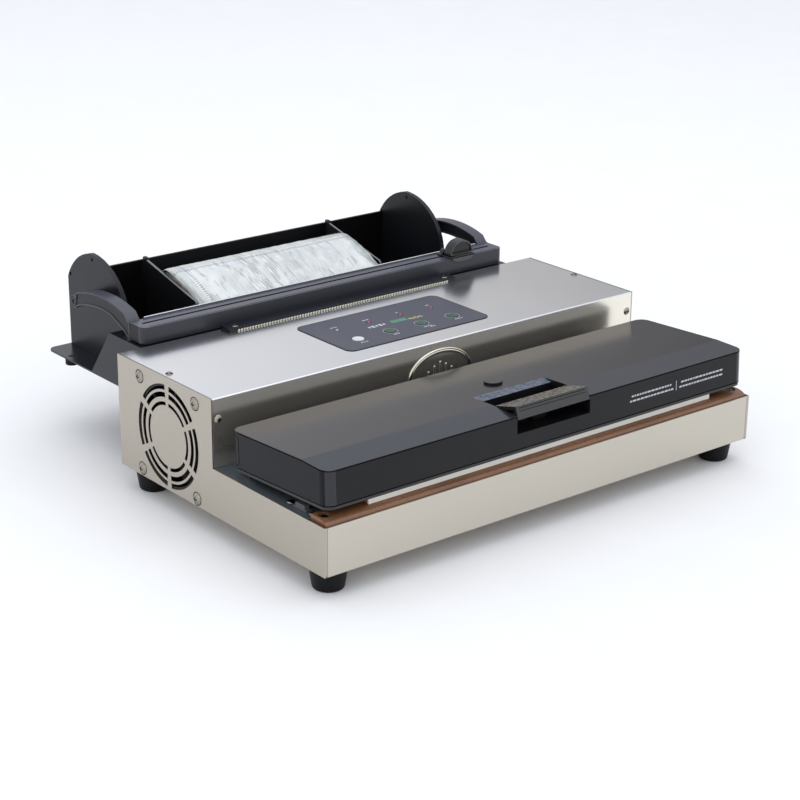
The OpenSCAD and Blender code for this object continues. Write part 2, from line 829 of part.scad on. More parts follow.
// ---------- cutter bar ----------

module rail_plan() {
    corner = 7;
    half = rail_w / 2;
    translate([-half, rail_y + corner]) square([rail_w, rail_d - corner]);
    translate([-half + corner, rail_y]) square([rail_w - 2 * corner, corner + 1]);
    for (x = [-1, 1]) translate([x * (half - corner), rail_y + corner]) circle(corner);
}

module cutter_rail() {
    track_end = rail_w / 2 - arm_t + 4;
    ridge_end = rail_w / 2 - arm_t - 3;
    color([0.25, 0.25, 0.27]) in_place() difference() {
        union() {
            difference() {
                plan(rail_z, rail_z + rail_h) rail_plan();
                mirror_copy() box([rail_w / 2 - arm_t - 0.01, rail_y + rail_d - 2.05, rail_z - 1],
                    [rail_w / 2 + 1, rail_y + rail_d + 1, rail_z + rail_h + 1]);
            }
            box([-ridge_end, rail_y + rail_d - 2, rail_z + 5],
                [ridge_end, rail_y + rail_d, rail_z + rail_h + 1.2]);
        }
        box([-track_end, track_y - track_w / 2, rail_z - 1],
            [track_end, track_y + track_w / 2, rail_z + rail_h + 3]);
        box([-ridge_end, track_y - 4, rail_z - 1], [ridge_end, track_y + 4, rail_z + 5]);
    }
}

// Curved arm from the rail's end back to its pivot, with a round rear end
module arm_outline() {
    big_r = 130;
    small_r = big_r - arm_t;
    arc = [364, -4.5];
    end_a = atan2(arm_pivot_z - arc[1], arm_pivot_y - arc[0]);
    rail_back = rail_y + rail_d + 0.05;
    outer = [for (a = [107:(end_a - 107) / 12:end_a + 0.01]) arc + big_r * [cos(a), sin(a)]];
    inner = [for (a = [end_a:(97 - end_a) / 9:97.01]) arc + small_r * [cos(a), sin(a)]];
    polygon(concat([[rail_back - 2, rail_z + rail_h], [rail_back, rail_z + rail_h]], outer, inner,
        [[rail_back + 9, rail_z + 6.2], [rail_back + 3, rail_z + 2.6],
            [rail_back, rail_z], [rail_back - 2, rail_z]]));
    translate([arm_pivot_y, arm_pivot_z]) circle((big_r - small_r) / 2);
}

module cutter_arms() {
    half = rail_w / 2;
    color([0.33, 0.33, 0.36]) in_place() mirror_copy() difference() {
        along_x(half - arm_t, half) arm_outline();
        x_rod(arm_pin_r + run_fit, half - arm_t - 1, half + 1, arm_pivot_y, arm_pivot_z);
    }
}

module cutter_carriage() {
    top = rail_z + rail_h;
    color([0.14, 0.14, 0.15]) in_place() translate([knob_x, 0, 0]) {
        box([-15, rail_y - 1.8, top + 0.1], [15, rail_y + 20, top + 3]);
        box([-13, rail_y - 1.8, top - 4], [13, rail_y - 0.4, top + 0.2]);
        box([-9, track_y - track_w / 2 + 0.1, rail_z + 2.5], [9, track_y + track_w / 2 - 0.1, top + 0.2]);
        box([-9, track_y - 3, rail_z + 2.5], [9, track_y + 3, rail_z + 4.9]);
        difference() {
            translate([0, rail_y + 3, top + 4.9]) rotate([-90, 0, 0]) cylinder(r = knob_r, h = 10);
            box([-20, rail_y, top - 20], [20, rail_y + 20, top + 2.9]);
        }
    }
}

module cutter_blade() {
    color([0.8, 0.8, 0.8]) in_place() translate([knob_x, track_y, 0]) rotate([90, 0, 0])
        translate([0, 0, -0.25]) linear_extrude(0.5)
            polygon([[-6, rail_z + 2.5], [6, rail_z + 2.5], [0, rail_z - 0.1]]);
}

// ---------- lid ----------

module lid_plan(inset) {
    translate([-lid_w / 2 + inset, lid_y0 + inset])
        rounded_rect(lid_w - 2 * inset, lid_y1 - lid_y0 - 2 * inset, lid_corner - min(inset, 6));
}

// Everything above the lid's gently sloped front edge
module above_lid() {
    along_x(-lid_w / 2 - 5, lid_w / 2 + 5) polygon([
        [lid_y0 - 5, lid_top - slope_drop - 0.35], [slope_y, lid_top], [lid_y1 + 5, lid_top],
        [lid_y1 + 5, lid_top + 10], [lid_y0 - 5, lid_top + 10]
    ]);
}

module hinge_notch() {
    mirror_copy() box([bracket_x0 - 0.5, hinge_y - 10, 30], [bracket_x1 + 9, lid_y1 + 1, hinge_z + 7]);
}

module lid_shell() {
    half = latch_w / 2;
    wall = lid_wall;
    color([0.27, 0.27, 0.3]) on_lid() {
        difference() {
            plan(groove_z, lid_top) lid_plan(0);
            difference() {
                plan(groove_z - 1, lid_top - wall - 0.5) lid_plan(wall);
                box([latch_x - half - wall, 0, pocket_floor - wall],
                    [latch_x + half + wall, ramp_y1 + wall, 90]);
            }
            above_lid();
            box([latch_x - half, 0, pocket_floor], [latch_x + half, pocket_y1, 90]);
            along_x(latch_x - half, latch_x + half) polygon([
                [pocket_y1 - 1, lid_top - 2], [ramp_y1, lid_top + 0.1], [pocket_y1 - 1, lid_top + 0.1]
            ]);
            box([latch_x - hook_w / 2 - 1, 19, 50], [latch_x + hook_w / 2 + 1, 32, 70]);
            hinge_notch();
            x_rod(latch_pin_r, latch_x - half - wall, latch_x + half + wall, latch_pivot_y, latch_pivot_z);
        }
        mirror_copy() difference() {
            union() {
                box([ear_x0, hinge_y - 4, hinge_z], [ear_x1, lid_y1 - 1, lid_top - 2]);
                x_rod(4, ear_x0, ear_x1, hinge_y, hinge_z);
            }
            x_rod(2.49 + run_fit, ear_x0 - 1, ear_x1 + 1, hinge_y, hinge_z);
        }
    }
}

// Round cap over the port in the middle of the lid
module port_cap() {
    color([0.2, 0.2, 0.21]) on_lid() translate([1, 77.4, lid_top]) cylinder(r = 8, h = 2);
}

module lid_frame() {
    front = 3.4;
    side = 9;
    color([0.22, 0.22, 0.24]) on_lid() difference() {
        union() {
            plan(lid_bottom, groove_z - 0.6) lid_plan(0.5);
            plan(groove_z - 0.6, groove_z) lid_plan(1.6);
        }
        box([-lid_w / 2 + side, lid_y0 + front, 30], [lid_w / 2 - side, hinge_y - 4.6, 60]);
        hinge_notch();
        mirror_copy() box([ear_x0 - 0.5, hinge_y - 6, 30], [ear_x1 + 0.5, hinge_y + 4.6, 60]);
    }
}

// Plate inside the lid that closes the vacuum space
module lid_liner() {
    half = tray_half + gasket_w + 3;
    color([0.15, 0.15, 0.16]) on_lid() difference() {
        box([-half + 5, 32, 52], [half - 5, 82, 54]);
        box([latch_x - 20, 30, 50], [latch_x + 20, 33, 56]);
    }
}

module pressure_pad() {
    color([0.6, 0.15, 0.1]) on_lid() translate([bar_x, 0, 0])
        box([-bar_len / 2, bar_y0 - 1, bar_top + 0.8], [bar_len / 2, bar_y1 + 0.6, bar_top + 5.8]);
}

module upper_gasket() {
    color([0.1, 0.1, 0.11]) on_lid() gasket_ring(deck_h + 4.3, 52, 0.5);
}

// ---------- latch ----------

module latch_pin() {
    half = latch_w / 2 + lid_wall;
    color([0.7, 0.7, 0.7]) on_lid()
        x_rod(latch_pin_r - 0.01, latch_x - half, latch_x + half, latch_pivot_y, latch_pivot_z);
}

module latch_handle() {
    half = latch_w / 2 - 0.6;
    hook = hook_w / 2;
    color([0.45, 0.45, 0.48]) on_lid() difference() {
        union() {
            along_x(latch_x - half, latch_x + half) union() {
                polygon([
                    [31.6, 79.6], [6.8, 84.9], [3.4, 74.5], [8, 75.5], [9, 81.5], [27, 77.5],
                    [30.5, 69.5], [36, 69.2], [37.5, 74]
                ]);
                translate([latch_pivot_y, latch_pivot_z]) circle(3.4);
            }
            box([latch_x - hook, 22, 48.3], [latch_x + hook, 24, 70.5]);
            box([latch_x - hook, 22, 68.8], [latch_x + hook, 33, 70.5]);
            box([latch_x - hook, 22, 48.3], [latch_x + hook, 26.6, 49.9]);
        }
        x_rod(latch_pin_r - 0.01 + run_fit, latch_x - 60, latch_x + 60, latch_pivot_y, latch_pivot_z);
    }
}

base_pan();
side_panel_left();
side_panel_right();
rear_panel();
top_cover();
badge();
deck_plate();
vacuum_tray();
lower_gasket();
seal_board();
seal_bar();
bar_facing();
heating_ribbon();
sealing_tape();
lid_switch();
latch_keeper();
hinge_brackets();
pivot_pins();
control_overlay();
control_board();
indicator_lights();
feet();
fan_frame();
pan_screws();
pump_motor();
pump_heads();
pump_bracket();
transformer_core();
transformer_coil();
vacuum_hose();
power_inlet();
switch_frame();
holder_bracket();
strip_pad();
roll_sides();
roll_trough();
holder_bumpers();
film_web();
lid_shell();
port_cap();
lid_frame();
lid_liner();
pressure_pad();
upper_gasket();
latch_pin();
latch_handle();
button_1();
button_2();
button_3();
button_4();
fan_rotor();
pump_shaft();
switch_rocker();
cutter_rail();
cutter_arms();
cutter_carriage();
cutter_blade();
divider_left();
divider_right();
bag_roll();
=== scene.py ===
import json
import math
import random

import bmesh
import bpy
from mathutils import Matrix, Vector, noise


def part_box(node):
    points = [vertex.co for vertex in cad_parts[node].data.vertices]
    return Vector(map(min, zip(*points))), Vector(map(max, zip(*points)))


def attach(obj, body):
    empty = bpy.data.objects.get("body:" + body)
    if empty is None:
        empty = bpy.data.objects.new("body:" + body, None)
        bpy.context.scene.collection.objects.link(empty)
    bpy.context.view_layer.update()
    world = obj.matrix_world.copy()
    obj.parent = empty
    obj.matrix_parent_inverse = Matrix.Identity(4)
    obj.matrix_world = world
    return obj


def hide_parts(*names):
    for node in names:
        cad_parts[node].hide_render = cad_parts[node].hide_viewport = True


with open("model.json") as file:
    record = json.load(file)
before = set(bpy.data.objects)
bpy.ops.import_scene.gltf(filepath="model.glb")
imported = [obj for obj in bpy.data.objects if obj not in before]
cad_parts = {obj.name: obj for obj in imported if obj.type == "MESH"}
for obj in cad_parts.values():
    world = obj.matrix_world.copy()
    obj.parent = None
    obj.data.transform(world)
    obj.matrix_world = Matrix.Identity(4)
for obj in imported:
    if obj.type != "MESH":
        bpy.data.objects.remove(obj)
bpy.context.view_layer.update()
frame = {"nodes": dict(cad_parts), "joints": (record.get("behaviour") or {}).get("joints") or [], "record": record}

NODES = frame["nodes"]
MM = 0.001


# ---------------------------------------------------------------- places, in the drawing's millimetres

FRONT_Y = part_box("base_pan")[0].y
BASE_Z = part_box("base_pan")[0].z
HINGE = next(j for j in frame["joints"] if j["name"] == "lid_hinge")
LID_TILT = math.radians(-HINGE["range_deg"][0])
HINGE_AT = Vector(HINGE["pos_m"])
HINGE_YZ = ((HINGE_AT.y - FRONT_Y) / MM, (HINGE_AT.z - BASE_Z) / MM)


def at(x, y, z):
    """A point from the drawing: x from the middle, y back from the front panel, z above the body's underside."""
    return Vector((x * MM, FRONT_Y + y * MM, BASE_Z + z * MM))


def on_lid(x, y, z):
    """The same for a point drawn on the closed lid, which stands a little open."""
    dy, dz = y - HINGE_YZ[0], z - HINGE_YZ[1]
    return at(x, HINGE_YZ[0] + dy * math.cos(LID_TILT) + dz * math.sin(LID_TILT),
              HINGE_YZ[1] - dy * math.sin(LID_TILT) + dz * math.cos(LID_TILT))


def drawn(point):
    """A place in the scene as drawing millimetres."""
    return point.x / MM, (point.y - FRONT_Y) / MM, (point.z - BASE_Z) / MM


def drawn_box(node):
    """Lowest and highest corner of a CAD node in drawing millimetres."""
    return [drawn(corner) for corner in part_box(node)]


def off_lid(point):
    """A place in the scene as millimetres on the closed lid."""
    x, y, z = drawn(point)
    dy, dz = y - HINGE_YZ[0], z - HINGE_YZ[1]
    return (x, HINGE_YZ[0] + dy * math.cos(LID_TILT) - dz * math.sin(LID_TILT),
            HINGE_YZ[1] + dy * math.sin(LID_TILT) + dz * math.cos(LID_TILT))


# ---------------------------------------------------------------- materials

def feed(tree, value, socket):
    """Links a worked-out value to a socket, or sets the socket to a plain number or colour."""
    if isinstance(value, Value):
        tree.links.new(value.socket, socket)
    else:
        socket.default_value = (*value, 1) if isinstance(value, tuple) else value


class Value:
    """Output of a shader node. It adds, subtracts and multiplies with other values and plain numbers."""

    def __init__(self, tree, socket):
        self.tree, self.socket = tree, socket

    def apply(self, operation, other=0.0):
        node = self.tree.nodes.new("ShaderNodeMath")
        node.operation = operation
        feed(self.tree, self, node.inputs[0])
        feed(self.tree, other, node.inputs[1])
        return Value(self.tree, node.outputs["Value"])

    def __add__(self, other):
        return self.apply("ADD", other)

    def __sub__(self, other):
        return self.apply("SUBTRACT", other)

    def __mul__(self, other):
        return self.apply("MULTIPLY", other)

    def __rsub__(self, other):
        return self * -1.0 + other

    def ramp(self, start, stop, low=0.0, high=1.0):
        """low below start, high above stop, and straight between."""
        node = self.tree.nodes.new("ShaderNodeMapRange")
        for name, number in (("From Min", start), ("From Max", stop), ("To Min", low), ("To Max", high)):
            node.inputs[name].default_value = number
        feed(self.tree, self, node.inputs["Value"])
        return Value(self.tree, node.outputs["Result"])

    def spread(self, low, high, contrast=1.0):
        """Maps a 0..1 texture, gathered round 0.5, to low..high."""
        half = 0.5 / contrast
        return self.ramp(0.5 - half, 0.5 + half, low, high)

    def band(self, low, high, blur):
        """1 between low and high, softened over blur at both ends."""
        return self.ramp(low - blur, low + blur) * (1.0 - self.ramp(high - blur, high + blur))

    def blend(self, first, second):
        """The first colour where this value is 0, and the second where it is 1."""
        node = self.tree.nodes.new("ShaderNodeMix")
        node.data_type = "RGBA"
        for value, socket in ((self, node.inputs["Factor"]), (first, node.inputs[6]), (second, node.inputs[7])):
            feed(self.tree, value, socket)
        return Value(self.tree, node.outputs[2])


def axes(tree, origin="Object"):
    """x, y and z of the place that is shaded."""
    place = tree.nodes.new("ShaderNodeTexCoord")
    split = tree.nodes.new("ShaderNodeSeparateXYZ")
    tree.links.new(place.outputs[origin], split.inputs["Vector"])
    return [Value(tree, split.outputs[axis]) for axis in "XYZ"]


class Look:
    """A material, built up from its Principled shader."""

    def __init__(self, name):
        self.mat = bpy.data.materials.new(name)
        self.mat.use_nodes = True
        self.tree = self.mat.node_tree
        self.bsdf = self.tree.nodes["Principled BSDF"]

    def set(self, inputs):
        for name, value in inputs.items():
            feed(self.tree, value, self.bsdf.inputs[name])

    def texture(self, kind, stretch=(1, 1, 1), **inputs):
        """A texture node that lies in the object's own coordinates."""
        place = self.tree.nodes.new("ShaderNodeTexCoord")
        mapping = self.tree.nodes.new("ShaderNodeMapping")
        node = self.tree.nodes.new("ShaderNodeTex" + kind)
        mapping.inputs["Scale"].default_value = stretch
        for name, value in inputs.items():
            node.inputs[name].default_value = value
        self.tree.links.new(place.outputs["Object"], mapping.inputs["Vector"])
        self.tree.links.new(mapping.outputs["Vector"], node.inputs["Vector"])
        return node

    def noise(self, scale, stretch=(1, 1, 1), detail=3.0, rough=0.55):
        node = self.texture("Noise", stretch, Scale=scale, Detail=detail, Roughness=rough)
        return Value(self.tree, node.outputs["Fac"])

    def bump(self, height, strength, distance):
        node = self.tree.nodes.new("ShaderNodeBump")
        node.inputs["Strength"].default_value = strength
        node.inputs["Distance"].default_value = distance
        feed(self.tree, height, node.inputs["Height"])
        self.tree.links.new(node.outputs["Normal"], self.bsdf.inputs["Normal"])


def tinted(factor, colour, tone):
    """The colour made darker and lighter by tone as a texture goes from 0 to 1."""
    darker, lighter = (tuple(min(1.0, c * gain) for c in colour) for gain in (1 - tone, 1 + tone))
    return factor.blend(darker, lighter)


def moulded(name, colour, rough=0.45, grain=900, tone=0.12, depth=0.05, coat=0.0, specular=0.5):
    """Moulded plastic, rubber or paint: fine grain, soft blotches, uneven gloss."""
    look = Look(name)
    fine = look.noise(grain, detail=2.0)
    broad = look.noise(14, detail=4.0)
    mixed = fine * 0.4 + broad * 0.6
    look.set({"Specular IOR Level": specular, "Base Color": tinted(mixed.spread(0, 1, 2.2), colour, tone),
              "Roughness": broad.spread(rough * 0.85, rough * 1.15, 2)})
    if coat:
        look.set({"Coat Weight": coat, "Coat Roughness": 0.12})
    look.bump(fine, depth, 0.0004)
    return look.mat


def brushed(name, colour, along=(1, 60, 60), rough=0.3, tone=0.05, depth=0.03, metal=1.0):
    """Sheet metal brushed along one direction."""
    look = Look(name)
    lines = look.noise(22, along, 6.0, 0.7)
    broad = look.noise(7)
    mixed = lines * 0.65 + broad * 0.35
    look.set({"Metallic": metal, "Base Color": tinted(mixed.spread(0, 1, 2.4), colour, tone),
              "Roughness": mixed.spread(rough * 0.8, rough * 1.2, 2)})
    look.bump(lines, depth, 0.0003)
    return look.mat


STEEL_WARM = (0.585, 0.548, 0.474)
ALONG_X = (1, 60, 60)
ALONG_Y = (60, 1, 60)

M = {
    # One brushed steel in lit and shaded copies: the side copy is darker as painted shade, and the top and riser
    # copies are lighter as painted light.
    "steel_front": brushed("steel front", STEEL_WARM, ALONG_X, 0.34, tone=0.025, depth=0.02),
    "steel_side": brushed("steel side", (0.475, 0.435, 0.372), ALONG_Y, 0.36, tone=0.03),
    "steel_top_lit": brushed("steel top lit", (0.82, 0.82, 0.83), ALONG_X, 0.18, tone=0.03),
    "steel_riser_lit": brushed("steel riser lit", (0.9, 0.85, 0.735), ALONG_X, 0.21, tone=0.02, depth=0.008, metal=0.92),
    "steel_deck": brushed("deck steel", (0.13, 0.15, 0.17), ALONG_X, 0.3, metal=0.5),
    "badge_rim": brushed("badge rim", (0.86, 0.82, 0.72), (8, 8, 8), 0.16),
    "badge": brushed("badge plate", (0.84, 0.79, 0.68), ALONG_X, 0.22, tone=0.02, depth=0.008, metal=0.92),
    "zinc": brushed("zinc plate", (0.6, 0.6, 0.59), ALONG_X, 0.35),
    "aluminium": brushed("aluminium", (0.8, 0.8, 0.8), ALONG_X, 0.25),
    "ground_steel": brushed("ground steel", (0.68, 0.68, 0.68), (60, 60, 1), 0.22),
    "nickel": brushed("nickel screws", (0.34, 0.32, 0.275), (8, 8, 8), 0.26, tone=0.12),
    # Near-black used as painted shade in the pocket under the latch, on the latch's ends, rear and underside, on the
    # port cap's side wall and on the walls of the cutter track; the fan behind its grille takes it too.
    "pocket": moulded("deep black and painted shade", (0.004, 0.004, 0.005), 0.45, grain=1500, specular=0.3),
    "lid_frame": moulded("lid frame", (0.018, 0.018, 0.02), 0.45, grain=1500),
    "holder": moulded("holder plastic", (0.009, 0.0095, 0.014), 0.34, grain=1300, depth=0.08, specular=0.27),
    # Darker copies of the holder's black for the side plates' inward faces and for the roll trough inside the holder:
    # painted shade.
    "holder_inner_shaded": moulded("holder plate inside painted shade", (0.008, 0.0085, 0.0105), 0.34, grain=1300, specular=0.25),
    # Near-black for dark joints and pressed lines, and as painted shade in the screws' cross recesses, in the rings
    # round the side screws and in the groove strip on the rail.
    "seam_and_shade": moulded("seam_and_shade", (0.002, 0.002, 0.0025), 0.8, grain=1300, specular=0.0),
    "holder_inside": moulded("holder inside", (0.0035, 0.0035, 0.004), 0.4, grain=1300, specular=0.15),
    "bracket": moulded("bracket powder coat", (0.009, 0.0095, 0.015), 0.24, grain=2200, depth=0.05, specular=0.3),
    "rail": moulded("rail paint", (0.034, 0.037, 0.047), 0.32, grain=1800, depth=0.05, specular=0.4),
    # Darker copy of the rail paint for the arms' sunk side faces: painted shade.
    "arm_face_shaded": moulded("arm sunk face painted shade", (0.01, 0.011, 0.015), 0.36, grain=1800, specular=0.26),
    "black": moulded("black plastic", (0.009, 0.009, 0.0105), 0.38, grain=1500, depth=0.08, specular=0.4),
    "knob": moulded("knob plastic", (0.0035, 0.0037, 0.0045), 0.26, grain=1800, depth=0.06),
    # Lighter copy of the knob's black for its rim face and the saddle's lip: painted highlight.
    "knob_rim_highlight": moulded("knob rim painted highlight", (0.06, 0.063, 0.07), 0.2, grain=1800, depth=0.06),
    "latch": moulded("latch plastic", (0.034, 0.036, 0.04), 0.3, grain=1400, depth=0.1),
    "switch_box": moulded("switch box", (0.1, 0.105, 0.115), 0.3, grain=1400, depth=0.08),
    # Pale grey for the dividers' upper edges: painted highlight.
    "divider_edge_highlight": moulded("divider edge painted highlight", (0.16, 0.16, 0.17), 0.3, grain=1400),
    "rubber": moulded("foot rubber", (0.0025, 0.0025, 0.003), 0.5, grain=1100, depth=0.15, specular=0.2),
    "foam": moulded("gasket foam", (0.02, 0.02, 0.02), 0.85, grain=2600, depth=0.4, specular=0.2),
    "pad": moulded("pressure pad", (0.32, 0.07, 0.04), 0.55, grain=900, depth=0.1),
    "board": moulded("phenolic board", (0.19, 0.088, 0.042), 0.26, grain=260, tone=0.3, depth=0.05, coat=0.12),
    "cream": moulded("cream edging", (0.76, 0.74, 0.68), 0.4, grain=700, tone=0.05),
    "pale_lug": moulded("pale lugs", (0.66, 0.64, 0.52), 0.4, grain=900, tone=0.12),
    "print": moulded("pale print", (0.5, 0.52, 0.56), 0.4, grain=2200, tone=0.1),
    "print_green": moulded("green print", (0.02, 0.24, 0.12), 0.35, grain=2200, tone=0.25, coat=0.2),
    "print_amber": moulded("amber print", (0.45, 0.42, 0.16), 0.35, grain=2200, tone=0.1),
    "button_green": moulded("green key", (0.02, 0.075, 0.045), 0.3, grain=2200, tone=0.25, specular=0.35),
    "button_silver": moulded("silver key", (0.62, 0.64, 0.68), 0.25, grain=2200, tone=0.06, coat=0.3),
    "lamp": moulded("red lamp", (0.36, 0.035, 0.06), 0.2, grain=900, coat=0.5),
    "lamp_off": moulded("grey lamp", (0.32, 0.36, 0.42), 0.2, grain=900, coat=0.5),
    "circuit": moulded("circuit board", (0.03, 0.14, 0.06), 0.4, grain=600, tone=0.3),
    "copper": moulded("coil", (0.45, 0.2, 0.07), 0.35, grain=500, tone=0.3),
    "iron": moulded("core iron", (0.12, 0.115, 0.11), 0.5, grain=500, tone=0.2),
    "hose": moulded("clear hose", (0.6, 0.6, 0.58), 0.3, grain=500),
    "alloy": moulded("cast alloy", (0.35, 0.35, 0.36), 0.45, grain=700, depth=0.2),
    "card": moulded("card core", (0.42, 0.36, 0.28), 0.8, grain=800, tone=0.15, depth=0.2),
}


def make_tape():
    """Brown non-stick tape with a fine plain weave."""
    look = Look("woven tape")
    threads = []
    for direction in "XY":
        wave = look.texture("Wave", Scale=420.0)
        wave.bands_direction = direction
        threads.append(Value(look.tree, wave.outputs["Fac"]))
    weave = threads[0] * threads[1]
    patch = look.noise(30)
    look.set({"Base Color": (weave * 0.5 + patch * 0.5).blend((0.13, 0.06, 0.028), (0.3, 0.16, 0.08)),
              "Roughness": patch.spread(0.3, 0.5)})
    look.bump(weave, 0.3, 0.0002)
    return look.mat


RIBS_PER_M = 2600.0     # angle of the sine per metre, so the ribs are 2.4 mm apart
DOTS_PER_M = 2417.0     # the same for the pressed dots, 2.6 mm apart


def make_film():
    """Crinkled embossed film seen over more film: clusters of ribs front to back, folds toward the right and a sealed
    band of pressed dots near two edges. The lighter and darker crinkle blotches, the dark ribs, streaks, folds and
    dots, and the pale streaks are painted shade and painted highlight; the ribs, folds and dots themselves are real."""
    look = Look("bag film")
    x, y, _ = axes(look.tree)
    left = x * -1.0
    crinkle = look.noise(44, (1, 0.5, 0.5), 5.0, 0.7)
    folds = look.noise(17, (0.8, 1.3, 1.3), 1.5)
    threads = look.noise(380, (1, 0.1, 0.1), 1.5)
    gate = look.noise(26, (0.9, 0.8, 0.8), 3.0, 0.6).ramp(0.51, 0.53)
    fine_gate = look.noise(90, (1, 0.4, 0.4), 2.0).ramp(0.47, 0.53)
    ribs = (x * RIBS_PER_M).apply("SINE").ramp(0.1, 0.7)
    margin = y.ramp(0.1765, 0.1775).apply("MAXIMUM", left.ramp(0.0945, 0.0955))
    margin = margin.apply("MAXIMUM", x.ramp(0.0915, 0.0925))
    edge = x.ramp(0.089, 0.1) * look.noise(90, (1, 0.25, 0.25)).ramp(0.42, 0.56)
    dots_x, dots_y = ((value * DOTS_PER_M).apply("SINE").ramp(-0.2, 0.4) for value in (x, y))
    dots = y.band(0.1725, 0.1755, 0.0002) * dots_x
    dots = dots.apply("MAXIMUM", left.band(0.0908, 0.0934, 0.0002) * dots_y)
    body = crinkle.ramp(0.36, 0.62).blend((0.53, 0.555, 0.55), (0.69, 0.71, 0.7))
    # Dark ribs, dark and pale streaks and dark folds are painted shade and painted highlight of the crinkles; the ribs
    # and folds themselves are real.
    for shade_and_mark, strength, colour in (
            (ribs * gate * fine_gate, 0.85, (0.2, 0.22, 0.2)),
            (threads.ramp(0.59, 0.63) * fine_gate, 0.55, (0.24, 0.265, 0.255)),
            (threads.ramp(0.4, 0.33) * gate, 0.7, (0.85, 0.87, 0.87)),
            (folds.ramp(0.5, 0.53) * x.ramp(-0.02, 0.075), 0.8, (0.3, 0.335, 0.31)),
            (margin, 0.45, (0.42, 0.46, 0.43)),
            (edge, 0.8, (0.1, 0.12, 0.13)),
            (dots, 0.85, (0.2, 0.22, 0.25))):
        body = (shade_and_mark * strength).blend(body, colour)
    look.set({"Base Color": body, "Roughness": crinkle.spread(0.14, 0.42, 2), "Coat Weight": 0.4,
              "Coat Roughness": 0.12})
    look.bump(threads * 0.4 + crinkle, 0.55, 0.001)
    return look.mat


def make_overlay():
    """Slate overlay film with a dark printed border that follows its rounded outline."""
    look = Look("overlay film")
    low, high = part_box("control_overlay")
    middle = (low + high) / 2
    half = (high - low) / 2
    corner, border, blur = 0.008, 0.0014, 0.0001
    x, y, _ = axes(look.tree)
    away = [((value - mid).apply("ABSOLUTE") - (size - corner)).apply("MAXIMUM")
            for value, mid, size in ((x, middle.x, half.x), (y, middle.y, half.y))]
    reach = (away[0] * away[0] + away[1] * away[1]).apply("SQRT")
    rim = reach.ramp(corner - border - blur, corner - border + blur)
    fine = look.noise(3200, detail=2.0)
    broad = look.noise(16, detail=4.0)
    film = (fine * 0.5 + broad * 0.5).spread(0, 1, 2.2).blend((0.044, 0.047, 0.07), (0.054, 0.057, 0.082))
    look.set({"Base Color": rim.blend(film, (0.012, 0.012, 0.02)), "Specular IOR Level": 0.35,
              "Roughness": broad.spread(0.28, 0.4, 2)})
    look.bump(fine, 0.05, 0.0002)
    return look.mat


def make_roll_end():
    """Wound film seen from the end: thin rings."""
    look = Look("wound film")
    fine = look.noise(1600, (0.05, 1, 1), 2.0)
    look.set({"Base Color": fine.spread(0, 1, 2.5).blend((0.6, 0.64, 0.6), (0.82, 0.85, 0.84)),
              "Roughness": look.noise(60).spread(0.15, 0.35)})
    look.bump(fine, 0.3, 0.0003)
    return look.mat


def make_speckled(name, dark, light, rough):
    """Pebbled gloss, as on the latch handle's top."""
    look = Look(name)
    pebbles = Value(look.tree, look.texture("Voronoi", Scale=1100.0).outputs["Distance"])
    patch = look.noise(300, detail=4.0)
    look.set({"Base Color": patch.spread(0, 1, 2.4).blend(dark, light), "Metallic": 0.75,
              "Roughness": patch.spread(rough * 0.7, rough * 1.3, 2)})
    look.bump(pebbles, 0.5, 0.0006)
    return look.mat


M["tape"] = make_tape()
M["film"] = make_film()
M["overlay"] = make_overlay()
M["lid"] = moulded("lid charcoal", (0.018, 0.0182, 0.0235), 0.18, grain=1500, tone=0.12, depth=0.02, specular=0.42)
# Darker, bluer, less shiny copy of the lid's colour for its end faces: painted shade.
M["lid_end_shaded"] = moulded("lid ends painted shade", (0.006, 0.006, 0.0085), 0.24, grain=1500, depth=0.02, specular=0.17)
# Lighter copy of the rail paint for the arms' upward faces: painted light.
M["arm_top_lit"] = moulded("arm top painted light", (0.045, 0.048, 0.062), 0.32, grain=1800, depth=0.05)
# Lighter, bluer copy of the rail paint for the rail's upward faces: painted light.
M["rail_top_lit"] = moulded("rail top painted light", (0.05, 0.054, 0.078), 0.28, grain=1800, depth=0.05)
M["roll_end"] = make_roll_end()
M["latch_top"] = make_speckled("latch pebbled top", (0.03, 0.028, 0.025), (0.3, 0.275, 0.235), 0.28)
M["ramp"] = make_speckled("ramp", (0.06, 0.07, 0.1), (0.2, 0.23, 0.29), 0.3)


# ---------------------------------------------------------------- mesh helpers

def piece(name, mesh, materials, body, stands_for=()):
    """A visible piece made of one mesh, riding on a body."""
    obj = bpy.data.objects.new(name, mesh)
    bpy.context.scene.collection.objects.link(obj)
    for mat in materials:
        mesh.materials.append(M[mat])
    if stands_for:
        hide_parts(*stands_for)
    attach(obj, body)
    return obj


def mesh_from(name, bm, smooth=True):
    mesh = bpy.data.meshes.new(name)
    bmesh.ops.recalc_face_normals(bm, faces=bm.faces)
    bm.to_mesh(mesh)
    bm.free()
    for face in mesh.polygons:
        face.use_smooth = smooth
    return mesh


def soften(obj, width, segments=2, angle=32):
    """Rounds an object's edges and keeps its flats flat."""
    bevel = obj.modifiers.new("edges", "BEVEL")
    bevel.width = width
    bevel.segments = segments
    bevel.limit_method = "ANGLE"
    bevel.angle_limit = math.radians(angle)
    bevel.use_clamp_overlap = True
    bevel.miter_outer = "MITER_ARC"
    flats = obj.modifiers.new("flats", "WEIGHTED_NORMAL")
    flats.weight = 100
    flats.keep_sharp = True
    return obj


BODY_OF = {node: body for body, nodes in frame["record"]["behaviour"]["bodies"].items() for node in nodes}


